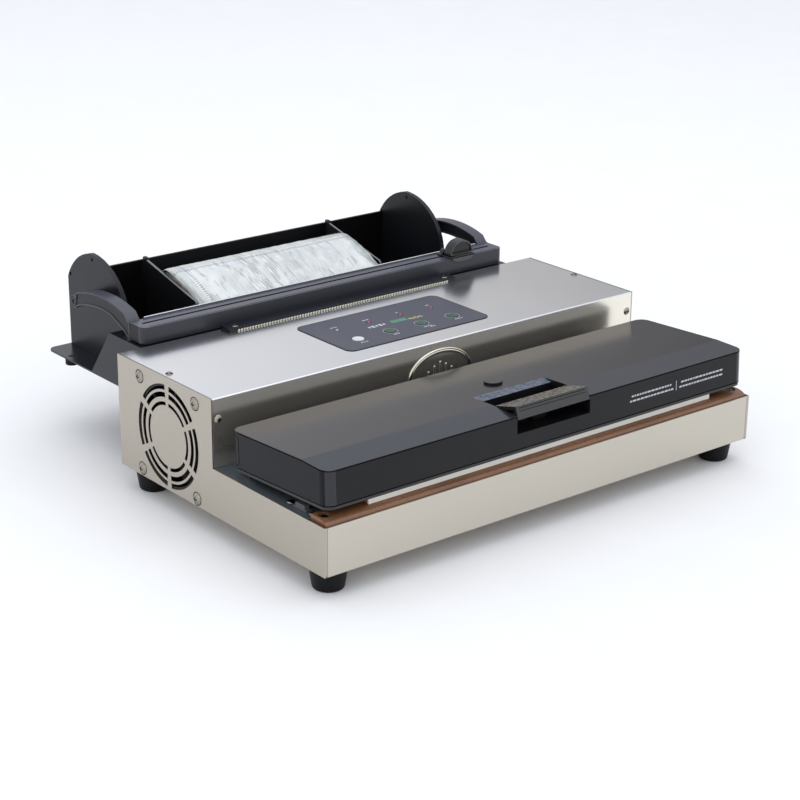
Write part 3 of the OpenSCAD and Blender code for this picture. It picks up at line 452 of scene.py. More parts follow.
def rounded(node, mats, width, segments=2, angle=32, pick=None, wide=None, change=None):
    """A CAD node redrawn with softened edges. pick(centre, normal) gives a face's place in mats,
    wide is (test, width) for edges that get a wider round, and change(bm) may alter the mesh first."""
    mats = [mats] if isinstance(mats, str) else mats
    bm = bmesh.new()
    bm.from_mesh(NODES[node].data)
    bmesh.ops.remove_doubles(bm, verts=bm.verts, dist=0.000004)
    bmesh.ops.dissolve_limit(bm, angle_limit=math.radians(0.8), verts=bm.verts, edges=bm.edges)
    bm.normal_update()
    if change:
        change(bm)
        bm.normal_update()
    if pick:
        for face in bm.faces:
            face.material_index = pick(face.calc_center_median(), face.normal)
    if wide:
        edges = [e for e in bm.edges if wide[0]((e.verts[0].co + e.verts[1].co) / 2, e)]
        bmesh.ops.bevel(bm, geom=edges, offset=wide[1], segments=6, profile=0.5, affect="EDGES",
                        clamp_overlap=True)
    mesh = mesh_from(node + " skin", bm)
    obj = piece(node + "_skin", mesh, mats, BODY_OF[node], (node,))
    return soften(obj, width, segments, angle)


def finish_node(node, mat):
    """A CAD node shown as it is, with a better material."""
    obj = NODES[node]
    if not obj.data.materials:
        obj.data.materials.append(M[mat])
    for index in range(len(obj.material_slots)):
        obj.material_slots[index].material = M[mat]


def box_into(bm, low, high):
    low, high = Vector(low), Vector(high)
    for vert in bmesh.ops.create_cube(bm, size=1.0)["verts"]:
        shares = [c + 0.5 for c in vert.co]
        vert.co = [a + (b - a) * share for a, b, share in zip(low, high, shares)]


def bridge(bm, first, second, mat_index=0):
    """Faces between two rings of vertices."""
    for a, b, c, d in zip(first, first[1:] + first[:1], second[1:] + second[:1], second):
        bm.faces.new((a, b, c, d)).material_index = mat_index


def prism_into(bm, outline, place, thickness, mat_index=0):
    """Closed prism: outline points through place(u, v, w), w from 0 to thickness."""
    rings = [[bm.verts.new(place(u, v, w)) for u, v in outline] for w in (0.0, thickness)]
    bm.faces.new(rings[0][::-1]).material_index = mat_index
    bm.faces.new(rings[1]).material_index = mat_index
    bridge(bm, rings[0], rings[1], mat_index)


def lathe_into(bm, profile, origin, axis, steps=48, mat_index=0):
    """Turns (radius, height) points about an axis through origin; a closed profile gives a closed ring."""
    axis = Vector(axis).normalized()
    side = axis.orthogonal().normalized()
    other = axis.cross(side)
    rings = []
    for radius, height in profile:
        base = Vector(origin) + axis * height
        if radius < 1e-7:
            rings.append([bm.verts.new(base)])
            continue
        rings.append([bm.verts.new(base + (side * math.cos(t) + other * math.sin(t)) * radius)
                      for t in (2 * math.pi * k / steps for k in range(steps))])
    for first, second in zip(rings, rings[1:] + rings[:1]):
        for k in range(steps):
            corner = [first[k % len(first)], first[(k + 1) % len(first)],
                      second[(k + 1) % len(second)], second[k % len(second)]]
            unique = list(dict.fromkeys(corner))
            if len(unique) >= 3:
                bm.faces.new(unique).material_index = mat_index


def arc(x, y, rx, ry, start, stop, steps):
    """Points on an arc of an ellipse round x, y, from start to stop in degrees."""
    angles = [math.radians(start + (stop - start) * k / steps) for k in range(steps + 1)]
    return [(x + rx * math.cos(a), y + ry * math.sin(a)) for a in angles]


def circle(x, y, radius, steps):
    return arc(x, y, radius, radius, 0, 360, steps)[:-1]


def round_rect(x, y, width, depth, radius):
    points = []
    for side_x, side_y, start in ((1, 1, 0), (-1, 1, 90), (-1, -1, 180), (1, -1, 270)):
        points += arc(x + side_x * (width / 2 - radius), y + side_y * (depth / 2 - radius), radius, radius,
                      start, start + 90, 8)
    return points


# ---------------------------------------------------------------- camera, light and floor

CAMERA_PLACE = (-1.05703, -1.32545, 0.67681)
CAMERA_TURN = (69.48216, -0.50824, -38.98786)
CAMERA_LENS = 90.31
SOFTBOXES = (   # name, place, target, size, power, colour
    ("overhead softbox", (0.3, 0.2, 2.4), (0, 0, 0.1), 2.6, 18, (1, 1, 1)),
    ("front softbox", (-1.5, -1.9, 1.3), (0, 0, 0.05), 1.6, 5.5, (1, 0.98, 0.94)),
    ("left softbox", (-2.4, -0.4, 1.1), (0, 0, 0.05), 1.2, 1.5, (1, 0.98, 0.94)),
)

camera_data = bpy.data.cameras.new("camera")
camera_data.sensor_width = 36.0
camera_data.lens = CAMERA_LENS
camera_data.clip_end = 60.0
camera = bpy.data.objects.new("camera", camera_data)
bpy.context.scene.collection.objects.link(camera)
camera.location = CAMERA_PLACE
camera.rotation_euler = tuple(math.radians(a) for a in CAMERA_TURN)
bpy.context.scene.camera = camera


def area_light(name, place, target, size, power, colour):
    data = bpy.data.lights.new(name, "AREA")
    data.energy = power
    data.color = colour
    data.size = size
    lamp = bpy.data.objects.new(name, data)
    bpy.context.scene.collection.objects.link(lamp)
    lamp.location = place
    lamp.rotation_euler = (Vector(target) - Vector(place)).to_track_quat("-Z", "Y").to_euler()


for softbox in SOFTBOXES:
    area_light(*softbox)


def make_world():
    """Soft studio surround, warm low down and cool above. It is dimmer on the right, darkest low behind on
    the right, and brighter ahead of the front panel."""
    world = bpy.data.worlds.new("studio")
    world.use_nodes = True
    tree = world.node_tree
    background = tree.nodes["Background"]
    x, y, z = axes(tree, "Generated")
    ramp = tree.nodes.new("ShaderNodeValToRGB")
    stops = ramp.color_ramp.elements
    stops[0].color = (0.8, 0.76, 0.69, 1)
    stops[1].color = (0.95, 0.97, 1.0, 1)
    for position, colour in ((0.2, (0.96, 0.91, 0.84, 1)), (0.32, (0.92, 0.91, 0.92, 1)),
                             (0.4, (0.76, 0.82, 0.95, 1)), (0.6, (0.82, 0.87, 0.98, 1))):
        stops.new(position).color = colour
    feed(tree, z, ramp.inputs["Fac"])
    tree.links.new(ramp.outputs["Color"], background.inputs["Color"])
    across = x * 0.79 - y * 0.61
    dimming = 1.12 - across.ramp(-0.2, 0.2) * 0.42
    ahead = x * 0.6 - y * 0.75 + z * 0.27
    low_right = across.ramp(-0.12, 0.2) * y.ramp(0.1, 0.4) * (0.33 - z).ramp(0.0, 0.03)
    glow = ahead.ramp(0.6, 0.9) * z.ramp(0.08, 0.2) * 0.8 + 1.0
    high = z.ramp(0.45, 0.75)
    level = dimming * glow * (1.0 - low_right * 0.62)
    feed(tree, level * (1.0 - high) + high * 1.08, background.inputs["Strength"])
    bpy.context.scene.world = world


make_world()
bpy.context.scene.view_settings.view_transform = "Standard"

floor_mesh = bpy.data.meshes.new("floor")
floor_mesh.from_pydata([(-30, -30, 0), (30, -30, 0), (30, 30, 0), (-30, 30, 0)], [], [(0, 1, 2, 3)])
floor = bpy.data.objects.new("floor", floor_mesh)
bpy.context.scene.collection.objects.link(floor)
M["floor"] = moulded("floor paper", (0.88, 0.88, 0.88), 0.7, grain=40, tone=0.01, depth=0.0)
floor_mesh.materials.append(M["floor"])


# ---------------------------------------------------------------- shapes from outlines

def slab(bm, outline, place, low, high, mat_index=0):
    """Flat plate with the given outline (u, v), its faces at heights low and high through place(u, v, w)."""
    return prism_into(bm, outline, lambda u, v, w: place(u, v, low + w), high - low, mat_index)


def ring_into(bm, outer, inner, place, low, high, mat_index=0):
    """Flat ring between two outlines with the same number of points."""
    loops = [[bm.verts.new(place(u, v, w)) for u, v in line]
             for line, w in ((outer, low), (outer, high), (inner, high), (inner, low))]
    for first, second in zip(loops, loops[1:] + loops[:1]):
        bridge(bm, first, second, mat_index)


def bar(x, y, width, depth, turn=0.0):
    """Outline of a small bar centred at x, y."""
    c, s = math.cos(turn), math.sin(turn)
    points = ((-width / 2, -depth / 2), (width / 2, -depth / 2), (width / 2, depth / 2), (-width / 2, depth / 2))
    return [(x + u * c - v * s, y + u * s + v * c) for u, v in points]


# ---------------------------------------------------------------- steel case

(_, riser_y, _), (cover_half, cover_rear, cover_z) = drawn_box("top_cover")


# Front-facing faces of the cover take the lighter riser copy of the steel: painted light.
def pick_cover(centre_point, normal):
    return 1 if normal.y < -0.7 and drawn(centre_point)[1] < riser_y + 1 else 0


def front_bend(middle, edge):
    """The bend between the riser and the top of the cover."""
    _, y, z = drawn(middle)
    return abs(y - riser_y) < 0.05 and abs(z - cover_z) < 0.05


# The side panels take the darker side copy of the steel: painted shade.
for node, mat, width, segments in (
        ("base_pan", "steel_front", 0.5, 2), ("side_panel_left", "steel_side", 0.5, 2),
        ("side_panel_right", "steel_side", 0.5, 2), ("rear_panel", "steel_front", 0.3, 2),
        ("deck_plate", "steel_deck", 0.2, 2), ("vacuum_tray", "black", 0.5, 2), ("lower_gasket", "foam", 0.8, 3),
        ("seal_bar", "board", 0.3, 2), ("bar_facing", "cream", 0.3, 2), ("lid_switch", "switch_box", 0.4, 2),
        ("feet", "rubber", 0.8, 3), ("strip_pad", "black", 0.3, 2), ("fan_frame", "pocket", 0.4, 2),
        ("fan_rotor", "pocket", 0.3, 2), ("power_inlet", "black", 0.4, 2), ("switch_frame", "black", 0.5, 2),
        ("switch_rocker", "black", 0.5, 2), ("control_overlay", "overlay", 0.12, 2),
        ("pressure_pad", "pad", 0.6, 2), ("upper_gasket", "foam", 0.8, 3), ("holder_bracket", "bracket", 0.4, 2),
        ("roll_trough", "holder_inside", 0.5, 2), ("holder_bumpers", "rubber", 1.0, 3)):
    rounded(node, mat, width * MM, segments)

rounded("top_cover", ["steel_top_lit", "steel_riser_lit"], 0.3 * MM, pick=pick_cover, wide=(front_bend, 1.0 * MM))
rounded("seal_board", "board", 0.3 * MM, angle=20)

for node, mat in (
        ("sealing_tape", "tape"), ("heating_ribbon", "aluminium"), ("latch_keeper", "zinc"),
        ("hinge_brackets", "rail"), ("pivot_pins", "rail"), ("latch_pin", "ground_steel"),
        ("control_board", "circuit"), ("pump_motor", "alloy"), ("pump_heads", "alloy"), ("pump_bracket", "zinc"),
        ("pump_shaft", "ground_steel"), ("transformer_core", "iron"), ("transformer_coil", "copper"),
        ("vacuum_hose", "hose"), ("cutter_blade", "ground_steel"), ("lid_liner", "black")):
    finish_node(node, mat)


def screw_heads():
    """Every pan screw as (middle of its vertices, outward axis, head radius, highest point along the axis)."""
    bm = bmesh.new()
    bm.from_mesh(NODES["pan_screws"].data)
    bmesh.ops.remove_doubles(bm, verts=bm.verts, dist=0.000004)
    left = set(bm.verts)
    found = []
    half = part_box("base_pan")[1].x
    while left:
        group, queue = set(), [left.pop()]
        while queue:
            vert = queue.pop()
            group.add(vert)
            for edge in vert.link_edges:
                other = edge.other_vert(vert)
                if other in left:
                    left.discard(other)
                    queue.append(other)
        points = [v.co.copy() for v in group]
        low = Vector([min(q[i] for q in points) for i in range(3)])
        high = Vector([max(q[i] for q in points) for i in range(3)])
        middle = (low + high) / 2
        if abs(middle.x) > half - 3 * MM:
            axis = Vector((math.copysign(1, middle.x), 0, 0))
        elif abs(drawn(middle)[1] - riser_y) < 6 and drawn(middle)[2] < 90:
            axis = Vector((0, -1, 0))
        else:
            axis = Vector((0, 0, 1))
        flat = [q - axis * q.dot(axis) for q in points]
        centre_line = middle - axis * middle.dot(axis)
        found.append((centre_line, axis, max((q - centre_line).length for q in flat),
                      max(q.dot(axis) for q in points)))
    bm.free()
    return found


SCREWS = screw_heads()


def make_screw_shadow_rings():
    """Shadow line where each big side screw's head meets the panel."""
    bm = bmesh.new()
    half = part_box("side_panel_right")[1].x / MM
    for centre_line, axis, radius, _ in SCREWS:
        if abs(axis.x) < 0.5:
            continue
        _, y, z = drawn(centre_line)
        outer, inner = (circle(y, z, radius / MM + grow, 32) for grow in (0.6, -0.7))
        ring_into(bm, outer, inner, lambda u, v, w, s=axis.x: at(s * (half + w), u, v), -0.2, 0.06)
    piece("screw_shadow_rings", mesh_from("screw shadow rings", bm, smooth=False), ["seam_and_shade"], "chassis")


make_screw_shadow_rings()


def screw_of(point):
    return min(SCREWS, key=lambda s: (point - s[1] * point.dot(s[1]) - s[0]).length + abs(point.dot(s[1]) - s[3]))


def pick_screw(point, normal):
    """The cross cut into a screw's head is painted near-black: painted shade in the recess."""
    centre_line, axis, radius, top = screw_of(point)
    away = (point - axis * point.dot(axis) - centre_line).length
    depth = (top - point.dot(axis)) / radius
    reach = 0.8 if axis.z > 0.5 else 0.62
    if away < reach * radius and depth < 0.4 and (abs(normal.dot(axis)) < 0.6 or depth > 0.2):
        return 1
    return 0


def shrink_strip_screws(bm):
    """The two screws that hold the strip on the cover have small heads."""
    for vert in bm.verts:
        centre_line, axis, radius, top = screw_of(vert.co)
        x, y, _ = drawn(centre_line)
        if axis.z > 0.5 and radius > 4.5 * MM and y > 250:
            away = vert.co - axis * vert.co.dot(axis) - centre_line
            if away.length > 2.0 * MM or top - vert.co.z < 2.0 * MM:
                vert.co -= away * 0.38
            if top - vert.co.z < 2.5 * MM:
                vert.co.z -= (vert.co.z - (top - 2.4 * MM)) * 0.3


rounded("pan_screws", ["nickel", "seam_and_shade"], 0.12 * MM, segments=2, angle=50, pick=pick_screw,
        change=shrink_strip_screws)


def make_badge():
    """Oval badge: plate, two bright beads round the rim, and a dished middle."""
    (x0, front_y, z0), (x1, back_y, z1) = drawn_box("badge")
    cx, cz, thick = (x0 + x1) / 2, (z0 + z1) / 2, back_y - front_y
    rx, rz = (x1 - x0) / 2, (z1 - z0) / 2
    profile = [(1.0, 0.0), (1.0, 0.55), (0.988, 0.92), (0.968, 1.0), (0.95, 0.9), (0.938, 0.62), (0.926, 0.62),
               (0.915, 0.86), (0.9, 0.95), (0.884, 0.86), (0.872, 0.4), (0.8, 0.4), (0.6, 0.41), (0.3, 0.42)]
    steps = 96
    bm = bmesh.new()
    rings = []
    for share, height in profile:
        shrink = (1 - share) * rz
        rings.append([bm.verts.new(at(cx + (rx - shrink) * math.cos(t), back_y - height * thick,
                                      cz + (rz - shrink) * math.sin(t)))
                      for t in (2 * math.pi * k / steps for k in range(steps))])
    for index, (first, second) in enumerate(zip(rings, rings[1:])):
        bridge(bm, first, second, 0 if index < 10 else 1)
    bm.faces.new(rings[-1]).material_index = 1
    bm.faces.new(rings[0][::-1])
    for k, tall in enumerate((5.0, 9.0, 12.0, 9.0, 5.0)):
        x = cx - 13 + 6.5 * k
        outer = round_rect(x, cz, 2.6, 2 * tall, 1.2)
        inner = round_rect(x, cz, 1.0, 2 * tall - 1.6, 0.5)
        base, crown = [[bm.verts.new(at(u, back_y - height * thick, v)) for u, v in line]
                       for line, height in ((outer, 0.38), (inner, 0.7))]
        bridge(bm, base, crown, 1)
        bm.faces.new(crown).material_index = 1
        bm.faces.new(base[::-1]).material_index = 1
    piece("badge_plate", mesh_from("badge plate", bm), ["badge_rim", "badge"], "chassis", ("badge",))


make_badge()


def make_strip_edge():
    """Row of small pale lugs along the front edge of the strip on the cover."""
    (x0, y0, z0), (x1, _, z1) = drawn_box("strip_pad")
    pitch, width, lean, end_gap, inset = 3.0, 1.7, 0.9, 8, 0.05
    bottom, top = z0 + inset, z1 - inset
    bm = bmesh.new()
    for k in range(int((x1 - x0 - 2 * end_gap) / pitch)):
        x = x0 + end_gap + k * pitch
        outline = [(x, bottom), (x + width, bottom), (x + width + lean, top), (x + lean, top)]
        prism_into(bm, outline, lambda u, v, w: at(u, y0 - 0.7 + w, v), 1.0)
    obj = piece("strip_edge", mesh_from("strip edge", bm, smooth=False), ["pale_lug"], "chassis")
    soften(obj, 0.22 * MM, segments=2)


make_strip_edge()


def make_cover_seams():
    """Dark joint between the cover and each side panel."""
    bm = bmesh.new()
    for side in (-1, 1):
        x0, x1 = sorted((side * (cover_half - 0.35), side * (cover_half + 0.2)))
        box_into(bm, at(x0, riser_y + 0.8, cover_z - 0.4), at(x1, cover_rear - 0.5, cover_z + 0.03))
    piece("cover_seams", mesh_from("cover seams", bm, smooth=False), ["seam_and_shade"], "chassis")


make_cover_seams()

# ---------------------------------------------------------------- control panel

overlay_low, overlay_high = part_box("control_overlay")
panel_top = drawn(overlay_high)[2]
key_boxes = [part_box("button_%d" % k) for k in (1, 2, 3, 4)]
keys = [((low.x + high.x) / 2 / MM, drawn((low + high) / 2)[1]) for low, high in key_boxes]
lamp_y = drawn(sum(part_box("indicator_lights"), Vector()) / 2)[1]
MARKS_Y = 213.0
INK = 0.06


def make_prints():
    """Marks on the overlay: rings round three keys, blank label dashes, pale and amber bars, green blocks."""
    bm = bmesh.new()

    def flat(u, v, w):
        return at(u, v, panel_top + w)

    for x, y in keys[1:]:
        ring_into(bm, circle(x, y, 6.7, 56), circle(x, y, 6.35, 56), flat, 0, INK)
    key_words = (((2.8, 1.6, 2.2),), ((3.4, 2.4),), ((3.2, 2.0, 2.6), (2.4, 2.2)), ((2.0, 3.6, 1.4),))
    lamp_words = ((2.6, 1.8, 1.2), (3.6, 2.8), (2.4,), (3.4,))
    for (x, y), rows, lamp_row in zip(keys, key_words, lamp_words):
        lines = [(x + (3.0 if n else -0.5), y - 9.6 - 2.4 * n, row) for n, row in enumerate(rows)]
        lines.append((x + 1.0, lamp_y + 6.8, lamp_row))
        for middle_x, line_y, words in lines:
            start = middle_x - (sum(words) + 0.7 * (len(words) - 1)) / 2
            for length in words:
                slab(bm, bar(start + length / 2, line_y, length, 1.3), flat, 0, INK)
                start += length + 0.7
    marks = [(0, bar(-25.0 + 4.0 * k, MARKS_Y, 2.6, 3.0 + 2.0 * (k % 2))) for k in range(5)]
    marks += [(1, bar(1.2 + 4.4 * k, MARKS_Y + 0.3, 3.9, 6.4)) for k in range(4)]
    marks += [(2, bar(18.6 + 2.6 * k, MARKS_Y - 2.0, 1.5, 4.4 if k % 2 else 3.2, 0.25)) for k in range(6)]
    for mat_index, outline in marks:
        slab(bm, outline, flat, 0, INK, mat_index)
    piece("panel_prints", mesh_from("panel prints", bm, smooth=False),
          ["print", "print_green", "print_amber"], "chassis")


make_prints()


def make_key(number, mat):
    """Slightly dished key with a rounded rim."""
    low, high = key_boxes[number - 1]
    x, y = keys[number - 1]
    top, bottom = drawn(high)[2], drawn(low)[2]
    flange = (high.x - low.x) / 2 / MM
    radius = KEY_RADIUS
    bm = bmesh.new()
    profile = [(0, bottom), (flange, bottom), (flange, bottom + 1.2), (radius, bottom + 1.2), (radius, top - 0.35),
               (radius - 0.12, top - 0.1), (radius - 0.4, top), (radius - 0.9, top - 0.02), (radius * 0.6, top - 0.12),
               (0, top - 0.16)]
    lathe_into(bm, [(r * MM, z * MM) for r, z in profile], at(x, y, 0), (0, 0, 1), 48)
    node = "button_%d" % number
    piece("key_%d" % number, mesh_from("key", bm), [mat], BODY_OF[node], (node,))


def key_radius():
    """Radius of a key's round top, taken from its highest vertices."""
    low, high = key_boxes[0]
    middle = (low.x + high.x) / 2
    return max(abs(v.co.x - middle) for v in NODES["button_1"].data.vertices if v.co.z > high.z - 0.0001) / MM


KEY_RADIUS = key_radius()
for number, mat in enumerate(("button_silver", "button_green", "button_green", "button_green"), 1):
    make_key(number, mat)


def make_lamps():
    """Four small domed lamps, the first one unlit."""
    bm = bmesh.new()
    low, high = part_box("indicator_lights")
    board_z = drawn(low)[2]
    for k, (x, _) in enumerate(keys):
        profile = [(0, board_z), (1.6, board_z), (1.6, panel_top + 0.1), (1.4, panel_top + 0.4),
                   (1.0, panel_top + 0.6), (0.5, panel_top + 0.7), (0, panel_top + 0.72)]
        lathe_into(bm, [(r * MM, z * MM) for r, z in profile], at(x, lamp_y, 0), (0, 0, 1), 28,
                   0 if k == 0 else 1)
    piece("lamps", mesh_from("lamps", bm), ["lamp_off", "lamp"], "chassis", ("indicator_lights",))


make_lamps()

# ---------------------------------------------------------------- lid

latch_low, latch_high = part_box("latch_handle")
latch_x0, latch_x1 = latch_low.x / MM - 0.7, latch_high.x / MM + 0.7


RAMP_Y = (49, 60.5)
POCKET_Y = (3.5, 50.5)
POCKET_TOP = 79.5


def pick_lid(centre_point, normal):
    """The ramp behind the latch is textured, the pocket under the latch is near-black as painted shade, and the lid's
    end faces take a darker copy of the lid's colour as painted shade.
    """
    x, y, z = off_lid(centre_point)
    inside = latch_x0 < x < latch_x1
    if inside and RAMP_Y[0] < y < RAMP_Y[1] and z > 76 and normal.z > 0.6:
        return 1
    if inside and POCKET_Y[0] < y < POCKET_Y[1] and z < POCKET_TOP and not (normal.z < -0.5 and z < 60):
        return 2
    return 3 if abs(normal.x) > 0.85 and abs(x) > 225 else 0


# The latch's ends, rear and underside take the near-black as painted shade.
def pick_latch(centre_point, normal):
    x, y, z = off_lid(centre_point)
    if normal.z > 0.75 and z > 79:
        return 1
    if abs(normal.x) > 0.9 or y > 20 or z < 74.3:
        return 2
    return 0


def lid_crease(middle, edge):
    """The long edge where the lid's top starts to slope down to the front."""
    run = edge.verts[0].co - edge.verts[1].co
    return abs(run.x) > 0.9 * run.length and abs(off_lid(middle)[1] - 35) < 1.2 and off_lid(middle)[2] > 79


rounded("lid_shell", ["lid", "ramp", "pocket", "lid_end_shaded"], 0.5 * MM, segments=3, angle=38, pick=pick_lid,
        wide=(lid_crease, 0.7 * MM))
# The cap's side wall takes the near-black as painted shade; its top keeps the lid's colour.
rounded("port_cap", ["lid", "pocket"], 0.25 * MM, pick=lambda c, n: 0 if n.z > 0.8 else 1)
rounded("lid_frame", ["lid_frame", "seam_and_shade"], 0.3 * MM, pick=lambda c, n: 1 if off_lid(c)[2] > 48.3 else 0)
rounded("latch_handle", ["latch", "latch_top", "pocket"], 0.35 * MM, pick=pick_latch)


LID_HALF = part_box("lid_shell")[1].x / MM
LID_FRONT, LID_REAR, LID_CORNER = 3.8, 129.0, 9.0
SKIRT_LINE = 49.2
HINGE_CAP = (123.5, 64)


def lid_outline(out):
    """Plan of the lid grown by out, as points from the rear left round the front to the rear right."""
    half, corner = LID_HALF + out, LID_CORNER + out
    points = [(-half, LID_REAR - LID_CORNER)]
    for centre_x, start in ((-LID_HALF + LID_CORNER, 180), (LID_HALF - LID_CORNER, 270)):
        points += arc(centre_x, LID_FRONT + LID_CORNER, corner, corner, start, start + 90, 12)
    points.append((half, LID_REAR - LID_CORNER))
    fine = []
    for (x0, y0), (x1, y1) in zip(points, points[1:]):
        count = max(1, int(math.dist((x0, y0), (x1, y1)) / 4))
        fine += [(x0 + (x1 - x0) * k / count, y0 + (y1 - y0) * k / count) for k in range(count)]
    return fine + [points[-1]]


def lid_height(y):
    """Height of the lid's top, which slopes down toward the front."""
    return min(80.0, 77.535 + y * 2.55 / 36.2)


def strip_into(bm, stations):
    """Closed bar through a row of four-cornered stations."""
    rows = [[bm.verts.new(point) for point in station] for station in stations]
    for first, second in zip(rows, rows[1:]):
        bridge(bm, first, second)
    bm.faces.new(rows[0])
    bm.faces.new(rows[-1][::-1])


def make_lid_seams():
    """Fine dark seams under the lid's top edge and above its skirt, and the outline of a cap at each hinge."""
    bm = bmesh.new()

    def station(inner, outer, height):
        return [on_lid(x, y, height(y) + shift)
                for (x, y), shift in ((inner, -0.35), (outer, -0.35), (outer, 0.35), (inner, 0.35))]

    pairs = list(zip(lid_outline(-0.4), lid_outline(0.07)))
    strip_into(bm, [station(inner, outer, lambda y: SKIRT_LINE) for inner, outer in pairs])
    ends = [((x, LID_FRONT + 0.4), (x, LID_FRONT - 0.07)) for x in (latch_x0, latch_x1)]
    left_run = [pair for pair in pairs if pair[1][0] < latch_x0 - 0.5] + ends[:1]
    right_run = ends[1:] + [pair for pair in pairs if pair[1][0] > latch_x1 + 0.5]
    for run in (left_run, right_run):
        strip_into(bm, [station(inner, outer, lambda y: lid_height(y) - 0.85) for inner, outer in run])

    def skin_x(y):
        past = max(0.0, y - (LID_REAR - LID_CORNER))
        return LID_HALF - LID_CORNER + math.sqrt(max(0.0, LID_CORNER ** 2 - past ** 2))

    for side in (-1, 1):
        outer = round_rect(*HINGE_CAP, 10.4, 26.5, 5.1)
        inner = round_rect(*HINGE_CAP, 9.4, 25.5, 4.6)
        ring_into(bm, outer, inner, lambda u, v, w, s=side: on_lid(s * (skin_x(u) + w), u, v), -0.2, 0.07)
    piece("lid_seams", mesh_from("lid seams", bm, smooth=False), ["seam_and_shade"], "lid")


make_lid_seams()


def make_lid_marks():
    """Blank marks in two rows on the right of the lid's front, with an upright bar between two groups."""
    tall, lean, gap, top_row, pitch = 1.5, 0.35, 0.9, 65.4, 4.2
    bm = bmesh.new()

    def front(u, v, w):
        return on_lid(u, LID_FRONT - w, v)

    random.seed(4)
    for start, stop in ((89.0, 141.0), (148.5, 203.0)):
        for row in range(2):
            x = start + 2.0 * (1 - row)
            low, high = (top_row - pitch * row + side * tall / 2 for side in (-1, 1))
            while x < stop - 2:
                length = random.uniform(1.6, 4.2)
                slab(bm, [(x, low), (x + length, low), (x + length + lean, high), (x + lean, high)], front, -0.1, 0.06)
                x += length + gap
    slab(bm, bar(144.8, 63.4, 0.6, 8.6), front, -0.1, 0.06)
    piece("front_marks", mesh_from("front marks", bm, smooth=False), ["print"], "lid")


make_lid_marks()


def make_latch_lines():
    """Two fine lines pressed along the latch handle's front lip."""
    bm = bmesh.new()
    x0, x1 = latch_x0 + 4, latch_x1 - 4

    def lip(u, v, w):
        share = (84.9 - v) / (84.9 - 74.5)
        return on_lid(u, 6.8 - 3.4 * share - w, v)

    for v, depth in ((82.9, 0.5), (80.6, 0.4)):
        slab(bm, [(x0, v), (x1, v), (x1, v + depth), (x0, v + depth)], lip, -0.15, 0.04)
    piece("latch_lines", mesh_from("latch lines", bm, smooth=False), ["seam_and_shade"], "latch")


make_latch_lines()

# ---------------------------------------------------------------- roll holder

# The side plates' inward faces take the darker copy of the holder's black: painted shade.
rounded("roll_sides", ["holder", "holder_inner_shaded"], 0.6 * MM, segments=3,
        pick=lambda c, n: 1 if n.x * c.x < 0 and abs(n.x) > 0.9 else 0)


def pick_divider(centre_point, normal):
    """A divider's upper edge is paler: a painted highlight."""
    return 1 if normal.z > 0.3 and abs(normal.x) < 0.5 and drawn(centre_point)[2] > 90 else 0


for node in ("divider_left", "divider_right"):
    rounded(node, ["black", "divider_edge_highlight"], 0.6 * MM, segments=3, pick=pick_divider)


def make_divider_caps():
    """Small rounded ends where the dividers meet the rear wall."""
    bm = bmesh.new()
    for node in ("divider_left", "divider_right"):
        low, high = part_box(node)
        inner = [v.co.x for v in NODES[node].data.vertices if v.co.z > high.z - 0.001]
        x0, x1 = min(inner) / MM, max(inner) / MM
        y1, z1 = drawn(high)[1], drawn(high)[2]
        box_into(bm, at(x0 - 0.8, y1 - 4.5, z1 - 3), at(x1 + 0.8, y1 + 1.5, z1 + 1.6))
    obj = piece("divider_caps", mesh_from("divider caps", bm), ["black"], "chassis")
    soften(obj, 1.5 * MM, segments=4)


make_divider_caps()

roll_low, roll_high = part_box("bag_roll")
ROLL_Y, ROLL_Z = drawn((roll_low + roll_high) / 2)[1:]
ROLL_HALF = (roll_high.x - roll_low.x) / 2 / MM
WOUND_R = 27.6
CORE_R = 19.0
BORE_R = 17.0


def make_roll():
    """Wound film on a card core: the layers don't end quite flush."""
    random.seed(7)
    bm = bmesh.new()
    layers = 22
    ends = []
    for k in range(layers + 1):
        radius = CORE_R + (WOUND_R - CORE_R) * k / layers
        ends.append((radius, ROLL_HALF - 0.5 - random.uniform(0, 0.9)))
    stairs = []
    for (r0, h0), (r1, h1) in zip(ends, ends[1:]):
        stairs += [(r0 + 0.04, h0), (r1 - 0.04, h0)]
    mirrored = [(r, -h) for r, h in reversed(stairs)]
    lathe_into(bm, [(r * MM, h * MM) for r, h in stairs + mirrored], at(0, ROLL_Y, ROLL_Z), (1, 0, 0), 96, 0)
    core = [(CORE_R, ROLL_HALF - 0.1), (CORE_R, -ROLL_HALF + 0.1), (BORE_R + 0.1, -ROLL_HALF + 0.1),
            (BORE_R + 0.1, ROLL_HALF - 0.1)]
    lathe_into(bm, [(r * MM, h * MM) for r, h in core], at(0, ROLL_Y, ROLL_Z), (1, 0, 0), 96, 1)
    piece("wound_roll", mesh_from("wound roll", bm), ["roll_end", "card"], "roll", ("bag_roll",))


make_roll()

FILM_PATH = [(432.0, 108.5), (426.5, 114.4), (418.6, 118.8), (410, 119.6), (404, 118.8), (398, 117.4), (390, 115.3),
             (379.9, 111.2), (369.9, 106.5), (361.9, 102.6), (354.9, 99.9), (349, 98.6), (342, 98.05),
             (320, 97.95), (293.2, 97.95)]


